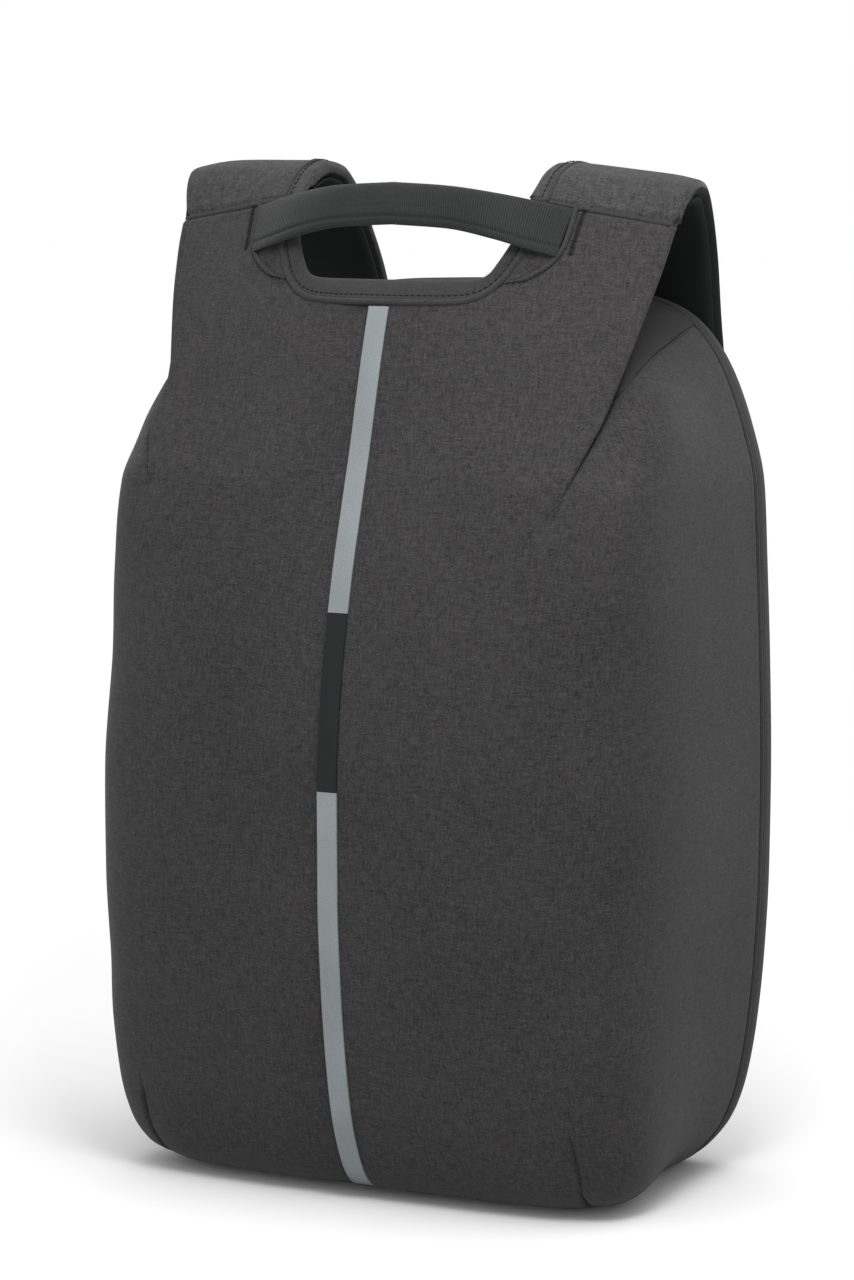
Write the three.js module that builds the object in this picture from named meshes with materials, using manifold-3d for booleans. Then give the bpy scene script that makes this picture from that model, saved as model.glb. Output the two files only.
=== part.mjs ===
// A slim anti theft backpack, standing upright, in millimetres.
// +X is to the right seen from the front, +Y points to the wearer's back, +Z is up.
// The front skin is one fabric: it is the front, the sides and the base, and it runs on
// upwards as two wings that become the shoulder straps.
// Inside this file y is measured from the plane of the back rim; the last lines centre it.
import * as THREE from "three";
import { mergeVertices } from "three/addons/utils/BufferGeometryUtils.js";
import Module from "manifold-3d";

const wasm = await Module();
wasm.setup();

// Driving sizes
const GAP = 0.3; // between pieces that touch
const WALL = 3; // the padded fabric skin
const RIM_DEPTH = 14; // from the back plane to the rim's piping
const PIPING_RADIUS = 1.6;
const SEAM_HIGH = 476; // where a wing ends and a strap begins, at the strap's inner edge
const SEAM_LOW = 464; // and at the wing's outer edge
const SLIT_HEIGHT = 340; // where the wing's outer edge leaves the side of the bag
const TUCK = 1.5; // how far the body lies under the front sheet above the slit
const TUCK_EASE = 25; // the height over which it gets there
const DIVE_EASE = 18; // and over which the sheet's lower end comes out of the body
const TOP_HEIGHT = 435;
const STRIP_WIDTH = 10.5;
const STRIP_THICKNESS = 1;
const STRIP_LOW = 6; // where the strip turns under the base
const STRIP_HIGH = 425.5;
const LABEL_LOW = 201; // the strip's dark length
const LABEL_HIGH = 284;
const PIPING_SEAT = 0.6; // how deep the opening's piping sits in the front
const BEYOND = 400; // further than anything on the bag
const INTO_BAG = -30; // cuts in the front sheet stop before the back

// The body by height: its half width at the back rim and at the front corner, and how
// squarely its section turns that corner.
const BODY = [
  { z: 0, rim: 104, flank: 117, square: 7 },
  { z: 4, rim: 113, flank: 131, square: 7 },
  { z: 12, rim: 122, flank: 142, square: 7 },
  { z: 25, rim: 132, flank: 147.5, square: 7 },
  { z: 45, rim: 139.5, flank: 149.5, square: 7 },
  { z: 75, rim: 145, flank: 150, square: 7 },
  { z: 110, rim: 148.5, flank: 150, square: 6.5 },
  { z: 150, rim: 150.5, flank: 150.5, square: 6.5 },
  { z: 200, rim: 151, flank: 151.5, square: 6.5 },
  { z: 250, rim: 150, flank: 149.5, square: 6.5 },
  { z: 300, rim: 148, flank: 147, square: 8 },
  { z: 340, rim: 146, flank: 144.5, square: 10 },
  { z: 365, rim: 140, flank: 143, square: 10 },
  { z: 385, rim: 133, flank: 136, square: 10 },
  { z: 400, rim: 125.5, flank: 122, square: 10 },
  { z: 412, rim: 116.5, flank: 108, square: 9 },
  { z: 421, rim: 105.5, flank: 95, square: 8 },
  { z: 428, rim: 87, flank: 78, square: 7 },
  { z: 432, rim: 60, flank: 56, square: 6 },
];

// The front by height, seen from the front and the side: how deep its middle ridge lies,
// the half width of the wings, and how far the front falls away from ridge to wing edge.
const FRONT = [
  { z: 0, nose: 121, wing: 104, bow: 3 },
  { z: 4, nose: 137, wing: 104, bow: 3 },
  { z: 12, nose: 148, wing: 104, bow: 3.5 },
  { z: 25, nose: 156, wing: 104, bow: 4 },
  { z: 45, nose: 163, wing: 104, bow: 4 },
  { z: 75, nose: 168.5, wing: 104, bow: 4 },
  { z: 110, nose: 172.5, wing: 104, bow: 4 },
  { z: 150, nose: 175, wing: 104, bow: 4 },
  { z: 200, nose: 175, wing: 104, bow: 4 },
  { z: 250, nose: 170.5, wing: 104, bow: 3.5 },
  { z: 300, nose: 161, wing: 104, bow: 2.5 },
  { z: 340, nose: 149.5, wing: 110, bow: 2 },
  { z: 358, nose: 144, wing: 113.5, bow: 8 },
  { z: 382, nose: 137.5, wing: 118.5, bow: 16.5 },
  { z: 400, nose: 132.5, wing: 122.5, bow: 20 },
  { z: 424, nose: 125, wing: 127.5, bow: 23.5 },
  { z: 448, nose: 116, wing: 132, bow: 26.5 },
  { z: 464, nose: 108, wing: 133.5, bow: 27 },
  { z: 480, nose: 99, wing: 134, bow: 27 },
];

// The seam between the sides and the top gusset, seen from the side, back to front.
const TOP_SEAM = [
  { y: 400, z: 415 },
  { y: -14, z: 414.5 },
  { y: -26, z: 413.5 },
  { y: -54, z: 408 },
  { y: -89, z: 399.8 },
  { y: -101, z: 395.5 },
  { y: -110, z: 390.3 },
  { y: -120, z: 381.5 },
  { y: -150, z: 350 },
  { y: -400, z: 100 },
];

// The hand opening, its right half: where the piping runs, and where the band's free edge
// runs, each as x, y and z. The band slopes back from the one to the other.
const OPENING = [
  { x: 0, z: 427.5, edgeX: 0, edgeY: -110.5, edgeZ: 438 },
  { x: 22, z: 427.5, edgeX: 20, edgeY: -109.5, edgeZ: 438 },
  { x: 38, z: 428, edgeX: 34, edgeY: -108.5, edgeZ: 438 },
  { x: 48, z: 430.5, edgeX: 43, edgeY: -107.5, edgeZ: 438.5 },
  { x: 55, z: 435.5, edgeX: 48.5, edgeY: -106, edgeZ: 441 },
  { x: 60, z: 442, edgeX: 52, edgeY: -104, edgeZ: 446 },
  { x: 64, z: 450, edgeX: 55.5, edgeY: -101, edgeZ: 452.5 },
  { x: 67, z: 458, edgeX: 58.5, edgeY: -97, edgeZ: 459.5 },
  { x: 69, z: 465, edgeX: 60.5, edgeY: -93, edgeZ: 466 },
  { x: 70, z: 472.6, edgeX: 62, edgeY: -88, edgeZ: 472.6 },
];

// A shoulder strap along its outer face, from the seam over the top and down the back:
// the middle line, the two edges' x, how far the outer edge sits behind and below the
// inner one, and how thick the padding is.
const SEAM_MIDDLE = (SEAM_HIGH + SEAM_LOW) / 2 + GAP;
const SEAM_DROP = SEAM_HIGH - SEAM_LOW;
const STRAP = [
  { y: -86.5, z: SEAM_MIDDLE, inner: 61, outer: 133.5, back: 11, drop: SEAM_DROP, fat: 8 },
  { y: -80, z: 480, inner: 61, outer: 136, back: 7, drop: 7, fat: 9 },
  { y: -71, z: 487, inner: 61, outer: 137, back: 3, drop: 7, fat: 9 },
  { y: -58, z: 490, inner: 61.5, outer: 136, back: 0, drop: 8, fat: 9 },
  { y: -42, z: 488, inner: 63, outer: 132.5, back: -2, drop: 7, fat: 9 },
  { y: -26, z: 480, inner: 64.5, outer: 128, back: -2, drop: 4, fat: 9 },
  { y: -10, z: 465, inner: 66, outer: 123, back: 0, drop: 2, fat: 8 },
  { y: 6, z: 445, inner: 67, outer: 118, back: 0, drop: 0, fat: 8 },
  { y: 19.5, z: 417, inner: 67.5, outer: 114, back: 0, drop: 0, fat: 8 },
  { y: 30.5, z: 380, inner: 66, outer: 112, back: 0, drop: 0, fat: 9 },
  { y: 37, z: 335, inner: 64, outer: 109, back: 0, drop: 0, fat: 9 },
  { y: 42, z: 285, inner: 62, outer: 107, back: 0, drop: 0, fat: 9 },
  { y: 43, z: 235, inner: 63, outer: 107, back: 0, drop: 0, fat: 9 },
  { y: 38, z: 190, inner: 68, outer: 109, back: 0, drop: 0, fat: 9 },
  { y: 30, z: 155, inner: 75, outer: 112, back: 0, drop: 0, fat: 8 },
  { y: 25, z: 138, inner: 81, outer: 111, back: 0, drop: 0, fat: 6 },
];
const LINING = { thickness: 2.6, inset: 2.5, gap: 0.7 }; // the dark mesh under each strap

// The lower webbing, from under the pad's end through its adjuster to the base corner.
const WEBBING = [
  { x: 95.5, y: 20.2, z: 158 },
  { x: 96.5, y: 16.6, z: 139 },
  { x: 97.7, y: 16, z: 129.5 },
  { x: 98.1, y: 22.6, z: 124.7 },
  { x: 98.9, y: 22.6, z: 117.3 },
  { x: 99.3, y: 16, z: 112.5 },
  { x: 103, y: 13.5, z: 90 },
  { x: 107.5, y: 11.2, z: 60 },
  { x: 111, y: 9.6, z: 34 },
];
const WEBBING_WIDTH = 25;
const WEBBING_THICKNESS = 1.8;

// The carry handle, from its middle out to the end that is sewn under the wing's piping.
const HANDLE = [
  { x: 0, y: -110.5, z: 473.5, half: 10, fat: 9, lean: 1 },
  { x: 28, y: -109.5, z: 472, half: 10, fat: 9, lean: 1 },
  { x: 52, y: -106, z: 468, half: 10.5, fat: 8, lean: 3 },
  { x: 70, y: -100.4, z: 463.5, half: 11, fat: 6, lean: 5 },
  { x: 83, y: -95, z: 460.2, half: 11, fat: 3.2, lean: 6.4 },
];

// Small maths

const mix = (a, b, t) => a + (b - a) * t;
const smooth = (t) => {
  const s = Math.min(1, Math.max(0, t));
  return s * s * (3 - 2 * s);
};

// A column of a table as a smooth function of another, with no overshoot.
function eased(rows, key, by = "z") {
  const at = rows.map((r) => r[by]);
  const v = rows.map((r) => r[key]);
  const last = v.length - 1;
  const rise = (i) => (v[i + 1] - v[i]) / (at[i + 1] - at[i]);
  const slope = v.map((_, i) => {
    if (i === 0) return rise(0);
    if (i === last) return rise(last - 1);
    const a = rise(i - 1);
    const b = rise(i);
    return a * b <= 0 ? 0 : (2 * a * b) / (a + b);
  });
  return (w) => {
    let i = 0;
    while (i < last - 1 && w > at[i + 1]) i++;
    const h = at[i + 1] - at[i];
    const t = Math.min(1, Math.max(0, (w - at[i]) / h));
    const t2 = t * t;
    const t3 = t2 * t;
    return (
      v[i] * (2 * t3 - 3 * t2 + 1) +
      slope[i] * h * (t3 - 2 * t2 + t) +
      v[i + 1] * (3 * t2 - 2 * t3) +
      slope[i + 1] * h * (t3 - t2)
    );
  };
}

// Every column of a table at once, by the row number, so that a path can turn back.
function pathOf(rows) {
  const numbered = rows.map((r, i) => ({ ...r, step: i }));
  const columns = Object.keys(rows[0]).map((key) => [key, eased(numbered, key, "step")]);
  return (step) => Object.fromEntries(columns.map(([key, f]) => [key, f(step)]));
}

// Solids

// A solid from points and triangles, turned to face outwards whichever way they wind.
function solidFrom(points, triangles) {
  const build = (order) =>
    new wasm.Manifold(
      new wasm.Mesh({
        numProp: 3,
        vertProperties: new Float32Array(points.flat()),
        triVerts: new Uint32Array(order),
      }),
    );
  const made = build(triangles);
  return made.volume() > 0 ? made : build(triangles.slice().reverse());
}

function solidOf(geometry) {
  const bare = geometry.clone();
  bare.deleteAttribute("normal");
  bare.deleteAttribute("uv");
  const merged = mergeVertices(bare, 1e-4);
  const index = Array.from(merged.index.array);
  const position = merged.attributes.position;
  const points = [];
  for (let i = 0; i < position.count; i++) {
    points.push([position.getX(i), position.getY(i), position.getZ(i)]);
  }
  return solidFrom(points, index);
}

// A closed body from rings of equally many points, with a fan on each end.
function loft(rings) {
  const n = rings[0].length;
  const points = rings.flat();
  const triangles = [];
  for (let j = 0; j + 1 < rings.length; j++) {
    for (let i = 0; i < n; i++) {
      const a = j * n + i;
      const b = j * n + ((i + 1) % n);
      triangles.push(a, b, b + n, a, b + n, a + n);
    }
  }
  const centre = (ring) => [0, 1, 2].map((k) => ring.reduce((s, p) => s + p[k], 0) / n);
  points.push(centre(rings[0]), centre(rings[rings.length - 1]));
  const low = points.length - 2;
  const top = (rings.length - 1) * n;
  for (let i = 0; i < n; i++) {
    triangles.push(low, (i + 1) % n, i);
    triangles.push(low + 1, top + i, top + ((i + 1) % n));
  }
  return solidFrom(points, triangles);
}

// A closed body between two grids of points: its face and its back.
function slab(face, back) {
  const rows = face.length;
  const columns = face[0].length;
  const points = [...face.flat(), ...back.flat()];
  const size = rows * columns;
  const at = (j, i) => j * columns + i;
  const triangles = [];
  const quad = (a, b, c, d) => triangles.push(a, b, c, a, c, d);
  for (let j = 0; j + 1 < rows; j++) {
    for (let i = 0; i + 1 < columns; i++) {
      const [a, b, c, d] = [at(j, i), at(j, i + 1), at(j + 1, i + 1), at(j + 1, i)];
      quad(a, b, c, d);
      quad(size + d, size + c, size + b, size + a);
    }
  }
  const wall = (a, b) => quad(b, a, size + a, size + b);
  for (let i = 0; i + 1 < columns; i++) {
    wall(at(0, i), at(0, i + 1));
    wall(at(rows - 1, i + 1), at(rows - 1, i));
  }
  for (let j = 0; j + 1 < rows; j++) {
    wall(at(j + 1, 0), at(j, 0));
    wall(at(j, columns - 1), at(j + 1, columns - 1));
  }
  return solidFrom(points, triangles);
}

// A closed ring: one section carried round a closed loop. place(i, s) is the point of
// section corner s at step i of the loop.
function hoop(steps, corners, place) {
  const points = [];
  const triangles = [];
  for (let i = 0; i < steps; i++) {
    for (let s = 0; s < corners; s++) {
      points.push(place(i, s));
      const a = i * corners + s;
      const b = i * corners + ((s + 1) % corners);
      const shift = (((i + 1) % steps) - i) * corners;
      triangles.push(a, b, b + shift, a, b + shift, a + shift);
    }
  }
  return solidFrom(points, triangles);
}

// A slab on the right side of the bag, or its mirror image on the left.
function sidedSlab(face, back, side) {
  const put = (grid) => grid.map((row) => row.map(([x, y, z]) => [x * side, y, z]));
  return slab(put(face), put(back));
}

const range = (n) => Array.from({ length: n + 1 }, (_, i) => i / n);

// Body shape

const columnsOf = (rows, ...keys) => Object.fromEntries(keys.map((k) => [k, eased(rows, k)]));
const bodyAt = columnsOf(BODY, "rim", "flank", "square");
const frontAt = columnsOf(FRONT, "nose", "wing", "bow");

// How a front falls away from its middle ridge: a soft V, 0 in the middle, 1 at the wing.
const RIDGE = 0.1;
const ridge = (u) =>
  (Math.sqrt(u * u + RIDGE * RIDGE) - RIDGE) / (Math.sqrt(1 + RIDGE * RIDGE) - RIDGE);
const frontDepth = (x, z) => frontAt.nose(z) - frontAt.bow(z) * ridge(x / frontAt.wing(z));

// A point of the body's skin: turn runs from 0 at the right rim, over the middle of the
// front at a half, to 1 at the left rim. inset moves it inwards. Above the slit the body
// lies a little under the front sheet.
function skin(turn, z, inset = 0) {
  const angle = Math.PI * turn;
  const c = Math.cos(angle);
  const s = Math.sin(angle);
  const p = bodyAt.square(z);
  const reach = 1 / (Math.abs(c) ** p + s ** p) ** (1 / p);
  const forward = reach * s;
  const half = mix(bodyAt.rim(z), bodyAt.flank(z), smooth((forward - 0.3) / 0.7)) - inset;
  const x = half * reach * c;
  const tuck = TUCK * smooth((z - SLIT_HEIGHT) / TUCK_EASE);
  return [x, -(frontDepth(x, z) - tuck - inset) * forward, z];
}

// Columns crowd where the section turns its corner.
function turns(side, corner, front) {
  const half = [
    ...range(side).map((t) => t * 0.2),
    ...range(corner).slice(1).map((t) => 0.2 + t * 0.1),
    ...range(front).slice(1).map((t) => 0.3 + t * 0.2),
  ];
  return [...half, ...half.slice(0, -1).reverse().map((t) => 1 - t)];
}

// The body as a block with its flat side on the plane y.
function block(columns, heights, inset, y, lowest, highest) {
  return loft(
    heights.map((h) => {
      const z = Math.min(highest, Math.max(lowest, h));
      return columns.map((turn, i) => {
        const [x, front, up] = skin(turn, z, inset);
        return i === 0 || i === columns.length - 1 ? [x, y, up] : [x, Math.min(front, y), up];
      });
    }),
  );
}

// The front sheet at a height, u from -1 at the left wing's edge to 1 at the right one's.
// Its lower end dives into the body's wall, so that the two join with no ledge.
function sheetPoint(u, z, inset = 0) {
  const x = u * frontAt.wing(z);
  const dive = TUCK * smooth((SLIT_HEIGHT - z) / DIVE_EASE);
  return [x, -(frontDepth(x, z) - dive - inset), z];
}

// The seam between a wing and its strap falls towards the wing's outer edge.
const [SEAM_START] = STRAP;
const seamHeight = (x) => {
  const t = (Math.abs(x) - SEAM_START.inner) / (SEAM_START.outer - SEAM_START.inner);
  return mix(SEAM_HIGH, SEAM_LOW, Math.max(0, t));
};

const SHEET_HEIGHTS = [322, 340, 358, 376, 394, 410, 424, 436, 448, 458];
const SHEET_COLUMNS = range(24).map((t) => 2 * t - 1);
function frontSheet(front, back) {
  const grid = (inset) => [
    ...SHEET_HEIGHTS.map((z) => SHEET_COLUMNS.map((u) => sheetPoint(u, z, inset))),
    SHEET_COLUMNS.map((u) => sheetPoint(u, seamHeight(u * SEAM_START.outer), inset)),
  ];
  return slab(grid(front), grid(back));
}

// Loops round the bag at its back rim, as x and z, evenly stepped.
const CROWN = { x: 30, z: 434.4 };
function outline(steps) {
  const [floor, ...tall] = BODY.map((row) => [row.rim, row.z]);
  const right = [[0, 0], [floor[0] / 2, 0], floor, ...tall, [CROWN.x, CROWN.z], [0, TOP_HEIGHT]];
  const left = right.slice(1, -1).reverse().map(([x, z]) => [-x, z]);
  const curve = new THREE.CatmullRomCurve3(
    [...right, ...left].map(([x, z]) => new THREE.Vector3(x, 0, z)),
    true,
    "centripetal",
  );
  curve.arcLengthDivisions = 800;
  return range(steps)
    .slice(0, -1)
    .map((t) => curve.getPointAt(t))
    .map((p) => [p.x, Math.max(0, p.z)]);
}

function inwards(loop, distance) {
  const n = loop.length;
  return loop.map(([x, z], i) => {
    const [ax, az] = loop[(i + n - 1) % n];
    const [bx, bz] = loop[(i + 1) % n];
    const length = Math.hypot(bx - ax, bz - az);
    return [x - ((bz - az) / length) * distance, z + ((bx - ax) / length) * distance];
  });
}

// Pieces of the body

const RIM_LINE = outline(70);
const RIM_FRONT = RIM_DEPTH + PIPING_RADIUS + GAP;

// The heights at which the body's section is drawn.
const BODY_HEIGHTS = [
  ...[0, 4, 12, 25, 45, 75, 110, 150, 200, 250, 300, 322, 340, 350, 365, 385, 400, 412],
  ...[421, 428, 432],
];
const BODY_TOP = 432;
function tray() {
  const outer = block(turns(4, 7, 8), BODY_HEIGHTS, 0, -RIM_FRONT, 0, BODY_TOP);
  const inside = [WALL, ...BODY_HEIGHTS.filter((z) => z > 4 && z < BODY_TOP - WALL), BODY_TOP - WALL];
  const inner = block(turns(2, 5, 5), inside, WALL, 0, WALL, BODY_TOP - WALL);
  return outer.subtract(inner);
}

function boxSolid(low, high) {
  const size = high.map((v, i) => v - low[i]);
  const box = new THREE.BoxGeometry(...size);
  box.translate(...low.map((v, i) => v + size[i] / 2));
  return solidOf(box);
}

// All that lies above the gusset's seam, lifted by a gap.
function aboveSeam(lift) {
  const seam = TOP_SEAM.map(({ y, z }) => [y, z + lift]);
  const profile = new THREE.Shape(
    [...seam, [-BEYOND, 2 * BEYOND], [BEYOND, 2 * BEYOND]].map((p) => new THREE.Vector2(...p)),
  );
  const wedge = new THREE.ExtrudeGeometry(profile, { depth: 2 * BEYOND, bevelEnabled: false });
  wedge.rotateX(Math.PI / 2).rotateZ(Math.PI / 2).translate(-BEYOND, 0, 0);
  return solidOf(wedge);
}

// The hand opening's right half, by its own length.
const openingAt = pathOf(OPENING);
const OPENING_STEPS = OPENING.length - 1;
const OPENING_SPANS = 13;
function openingLine(steps) {
  const half = range(steps).map((t) => openingAt(t * OPENING_STEPS));
  const other = half.slice(1).reverse().map((p) => ({ ...p, x: -p.x, edgeX: -p.edgeX }));
  return [...other, ...half];
}

const pipingCentre = ({ x, z }) => [x, -(frontDepth(x, z) - PIPING_SEAT), z];

// A tube along points, with its section kept upright enough for gentle bends.
function tube(points, radius, sides = 6) {
  const path = new THREE.CatmullRomCurve3(points.map((p) => new THREE.Vector3(...p)));
  const section = new THREE.Shape(
    range(sides)
      .slice(0, -1)
      .map((t) => new THREE.Vector2(Math.cos(2 * Math.PI * t), Math.sin(2 * Math.PI * t)))
      .map((v) => v.multiplyScalar(radius)),
  );
  return solidOf(
    new THREE.ExtrudeGeometry(section, {
      steps: Math.round(points.length * 1.5),
      extrudePath: path,
      bevelEnabled: false,
    }),
  );
}

const pipingPath = openingLine(OPENING_SPANS).map(pipingCentre);
const pipingRoom = tube(pipingPath, PIPING_RADIUS + GAP);

// A prism along y from an outline in x and z.
function prism(points, from, to) {
  const shape = new THREE.Shape(points.map(([x, z]) => new THREE.Vector2(x, z)));
  const made = new THREE.ExtrudeGeometry(shape, { depth: to - from, bevelEnabled: false });
  made.rotateX(Math.PI / 2).translate(0, to, 0);
  return solidOf(made);
}

function openingCut() {
  const line = openingLine(OPENING_SPANS).map(({ x, z }) => [x, z]);
  const [left, right] = [line[0][0], line[line.length - 1][0]];
  return prism([...line, [right, 2 * BEYOND], [left, 2 * BEYOND]], -BEYOND, INTO_BAG);
}

// The window under each handle end, where the patch shows: its outer edge as a smooth
// line, closed by corners that lie beyond the hand opening and the strap's seam.
const WINDOW = [
  { x: 84.5, z: 473 },
  { x: 84.5, z: 452 },
  { x: 80, z: 446 },
  { x: 72, z: 441.5 },
  { x: 60, z: 440 },
];
const WINDOW_CORNERS = [
  { x: 52, z: 440 },
  { x: 52, z: 470 },
  { x: 66, z: 473 },
];
function windowPrism(inset, side) {
  const smoothEdge = new THREE.CatmullRomCurve3(
    WINDOW.map(({ x, z }) => new THREE.Vector3(x, 0, z)),
    false,
    "centripetal",
  );
  const edge = smoothEdge.getPoints(10).map((p) => [p.x - inset, p.z + inset]);
  const corners = WINDOW_CORNERS.map(({ x, z }) => [x, z < WINDOW[1].z ? z + inset : z - inset]);
  return prism([...edge, ...corners].map(([x, z]) => [x * side, z]), -BEYOND, INTO_BAG);
}

function bodyShell() {
  const lower = tray().subtract(aboveSeam(0));
  let sheet = frontSheet(0, WALL).subtract(openingCut()).subtract(pipingRoom);
  for (const side of [1, -1]) {
    sheet = sheet.subtract(windowPrism(0, side));
  }
  return largest(lower.add(sheet));
}

// Booleans can leave crumbs; a piece is its largest body.
function largest(solid) {
  const bodies = solid.decompose().sort((a, b) => b.volume() - a.volume());
  return bodies[0];
}

// The opening band's own room, so that the gusset's front ends behind it.
const BAND_ROOM = { halfWidth: 64, back: -103, low: 424, high: 440 };
const AHEAD = -60; // how far before the front the sheet's room reaches
function topGusset() {
  const roof = tray().intersect(aboveSeam(GAP));
  const ahead = frontSheet(AHEAD, WALL + GAP);
  const { halfWidth, back, low, high } = BAND_ROOM;
  const bandRoom = boxSolid([-halfWidth, -BEYOND, low], [halfWidth, back, high]);
  return largest(roof.subtract(ahead).subtract(bandRoom));
}

// A patch fills its window, a little below the front sheet's face.
const PATCH_DEPTH = 1;
function patch(side) {
  const plate = frontSheet(PATCH_DEPTH, WALL).intersect(windowPrism(GAP, side));
  return largest(plate.subtract(openingCut()).subtract(pipingRoom));
}

// The band slopes back from beside the piping to the free edge of the hand opening.
const BAND_THICKNESS = 2.6;
const BAND_CROWN = 1.2;
function openingBand() {
  const face = openingLine(OPENING_SPANS).map((p) => {
    const start = pipingCentre(p);
    const free = [p.edgeX, p.edgeY, p.edgeZ];
    const width = Math.hypot(...free.map((v, i) => v - start[i]));
    const at = (t) => start.map((v, i) => mix(v, free[i], t));
    const [x, y, z] = at(0.55);
    return [at((PIPING_RADIUS + GAP) / width), [x, y - BAND_CROWN, z + BAND_CROWN / 2], free];
  });
  return slab(face, face.map((row) => row.map(([x, y, z]) => [x, y + BAND_THICKNESS, z])));
}

function rimBand() {
  const section = [
    { in: 0, y: -RIM_DEPTH + PIPING_RADIUS + GAP },
    { in: 0, y: -2.5 },
    { in: 1.6, y: -0.4 },
    { in: 4.5, y: 0.4 },
    { in: 4.5, y: -3 },
    { in: 3, y: -RIM_DEPTH + PIPING_RADIUS + GAP },
  ];
  const loops = section.map((corner) => inwards(RIM_LINE, corner.in));
  const place = (i, s) => [loops[s][i][0], section[s].y, loops[s][i][1]];
  return hoop(RIM_LINE.length, section.length, place);
}

const RIM_PIPING_OUT = 0.4; // how far it stands out of the rim
function rimPiping() {
  const sides = 6;
  const angles = range(sides).slice(0, -1).map((t) => 2 * Math.PI * t);
  const loops = angles.map((a) =>
    inwards(RIM_LINE, PIPING_RADIUS * (1 + Math.cos(a)) - RIM_PIPING_OUT),
  );
  const place = (i, s) => {
    const [x, z] = loops[s][i];
    return [x, -RIM_DEPTH + PIPING_RADIUS * Math.sin(angles[s]), Math.max(GAP, z)];
  };
  return hoop(RIM_LINE.length, sides, place);
}

function backPanel() {
  const layers = [
    { in: 5.2, y: -9 },
    { in: 4.9, y: -2.5 },
    { in: 5.2, y: 0.5 },
    { in: 12, y: 4 },
    { in: 30, y: 6 },
    { in: 55, y: 6.5 },
  ];
  return loft(layers.map((layer) => inwards(RIM_LINE, layer.in).map(([x, z]) => [x, layer.y, z])));
}

// Straps

const strapAt = pathOf(STRAP);
const STRAP_STEPS = STRAP.length - 1;

// The strap's middle line and the direction out of its outer face at a step.
function strapFrame(step) {
  const row = strapAt(step);
  const a = strapAt(Math.max(0, step - 0.05));
  const b = strapAt(Math.min(STRAP_STEPS, step + 0.05));
  const angle = Math.atan2(b.y - a.y, b.z - a.z) * smooth(step / 1.5);
  return { row, out: [-Math.cos(angle), Math.sin(angle)] };
}

// A point across the strap: u from 0 at the inner edge to 1 at the outer, depth inwards.
function strapPoint(step, u, depth) {
  const { row, out } = strapFrame(step);
  const x = mix(row.inner, row.outer, u);
  const y = row.y + row.back * (u - 0.5) - out[0] * depth;
  const z = row.z - row.drop * (u - 0.5) - out[1] * depth;
  return [x, y, z];
}

// The padding thins towards both edges, as a sewn pad does.
const ACROSS = [0, 0.06, 0.2, 0.5, 0.8, 0.94, 1];
const EDGE_SINK = 3;
const sink = (u) => EDGE_SINK * Math.abs(2 * u - 1) ** 8;

const PAD_STEPS = range(26).map((t) => t * STRAP_STEPS);
function strapPad(side) {
  const face = PAD_STEPS.map((s) => ACROSS.map((u) => strapPoint(s, u, sink(u))));
  const back = PAD_STEPS.map((s) => ACROSS.map((u) => strapPoint(s, u, strapAt(s).fat)));
  return sidedSlab(face, back, side);
}

function strapLining(side) {
  const steps = PAD_STEPS.slice(1, -3);
  const across = [0, 0.5, 1];
  const grid = (extra) =>
    steps.map((s) => {
      const row = strapAt(s);
      const rim = LINING.inset / (row.outer - row.inner);
      return across.map((u) => strapPoint(s, mix(rim, 1 - rim, u), row.fat + LINING.gap + extra));
    });
  return sidedSlab(grid(0), grid(LINING.thickness), side);
}

function webbing(side) {
  const across = (p, y) => [-0.5, 0.5].map((u) => [p.x + u * WEBBING_WIDTH, p.y + y, p.z]);
  const grid = (y) => WEBBING.map((p) => across(p, y));
  return sidedSlab(grid(0), grid(WEBBING_THICKNESS), side);
}

// A plain ladder adjuster: the webbing passes over its middle bar, through two slots.
const ADJUSTER = { x: 98.5, y: 18.1, z: 121, width: 33, height: 26, thickness: 4 };
const SLOT = { width: WEBBING_WIDTH + 3, height: 5, shift: 6 };
function adjuster(side) {
  const { x, y, z, width, height, thickness } = ADJUSTER;
  const rectangle = (cx, cz, w, h) => [
    [cx - w / 2, cz - h / 2],
    [cx + w / 2, cz - h / 2],
    [cx + w / 2, cz + h / 2],
    [cx - w / 2, cz + h / 2],
  ];
  let frame = prism(rectangle(x * side, z, width, height), y, y + thickness);
  for (const middle of [z - SLOT.shift, z + SLOT.shift]) {
    const slot = rectangle(x * side, middle, SLOT.width, SLOT.height);
    frame = frame.subtract(prism(slot, -BEYOND, BEYOND));
  }
  return frame;
}

// The tab that holds the webbing at the base corner.
const TAB_FACE = 6.9;
const TAB_THICKNESS = 2.4;
const TAB = [
  { x: 97, z: 40 },
  { x: 125, z: 40 },
  { x: 126, z: 24 },
  { x: 110, z: 17 },
  { x: 99, z: 26 },
];
function baseTab(side) {
  const corners = TAB.map(({ x, z }) => [x * side, z]);
  return prism(corners, TAB_FACE, TAB_FACE + TAB_THICKNESS);
}

// Handle

const handleAt = pathOf(HANDLE);
function handle() {
  const last = HANDLE.length - 1;
  const half = range(12).map((t) => handleAt(t * last));
  const other = half.slice(1).reverse().map((p) => ({ ...p, x: -p.x }));
  const sides = 10;
  const rings = [...other, ...half].map((p) =>
    range(sides)
      .slice(0, -1)
      .map((t) => {
        const angle = 2 * Math.PI * t;
        const up = p.half * Math.sign(Math.sin(angle)) * Math.abs(Math.sin(angle)) ** 0.6;
        const out = (p.fat / 2) * Math.sign(Math.cos(angle)) * Math.abs(Math.cos(angle)) ** 0.8;
        return [p.x, p.y - out + (p.lean * up) / p.half, p.z + up];
      }),
  );
  return loft(rings);
}

// Front strip

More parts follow.
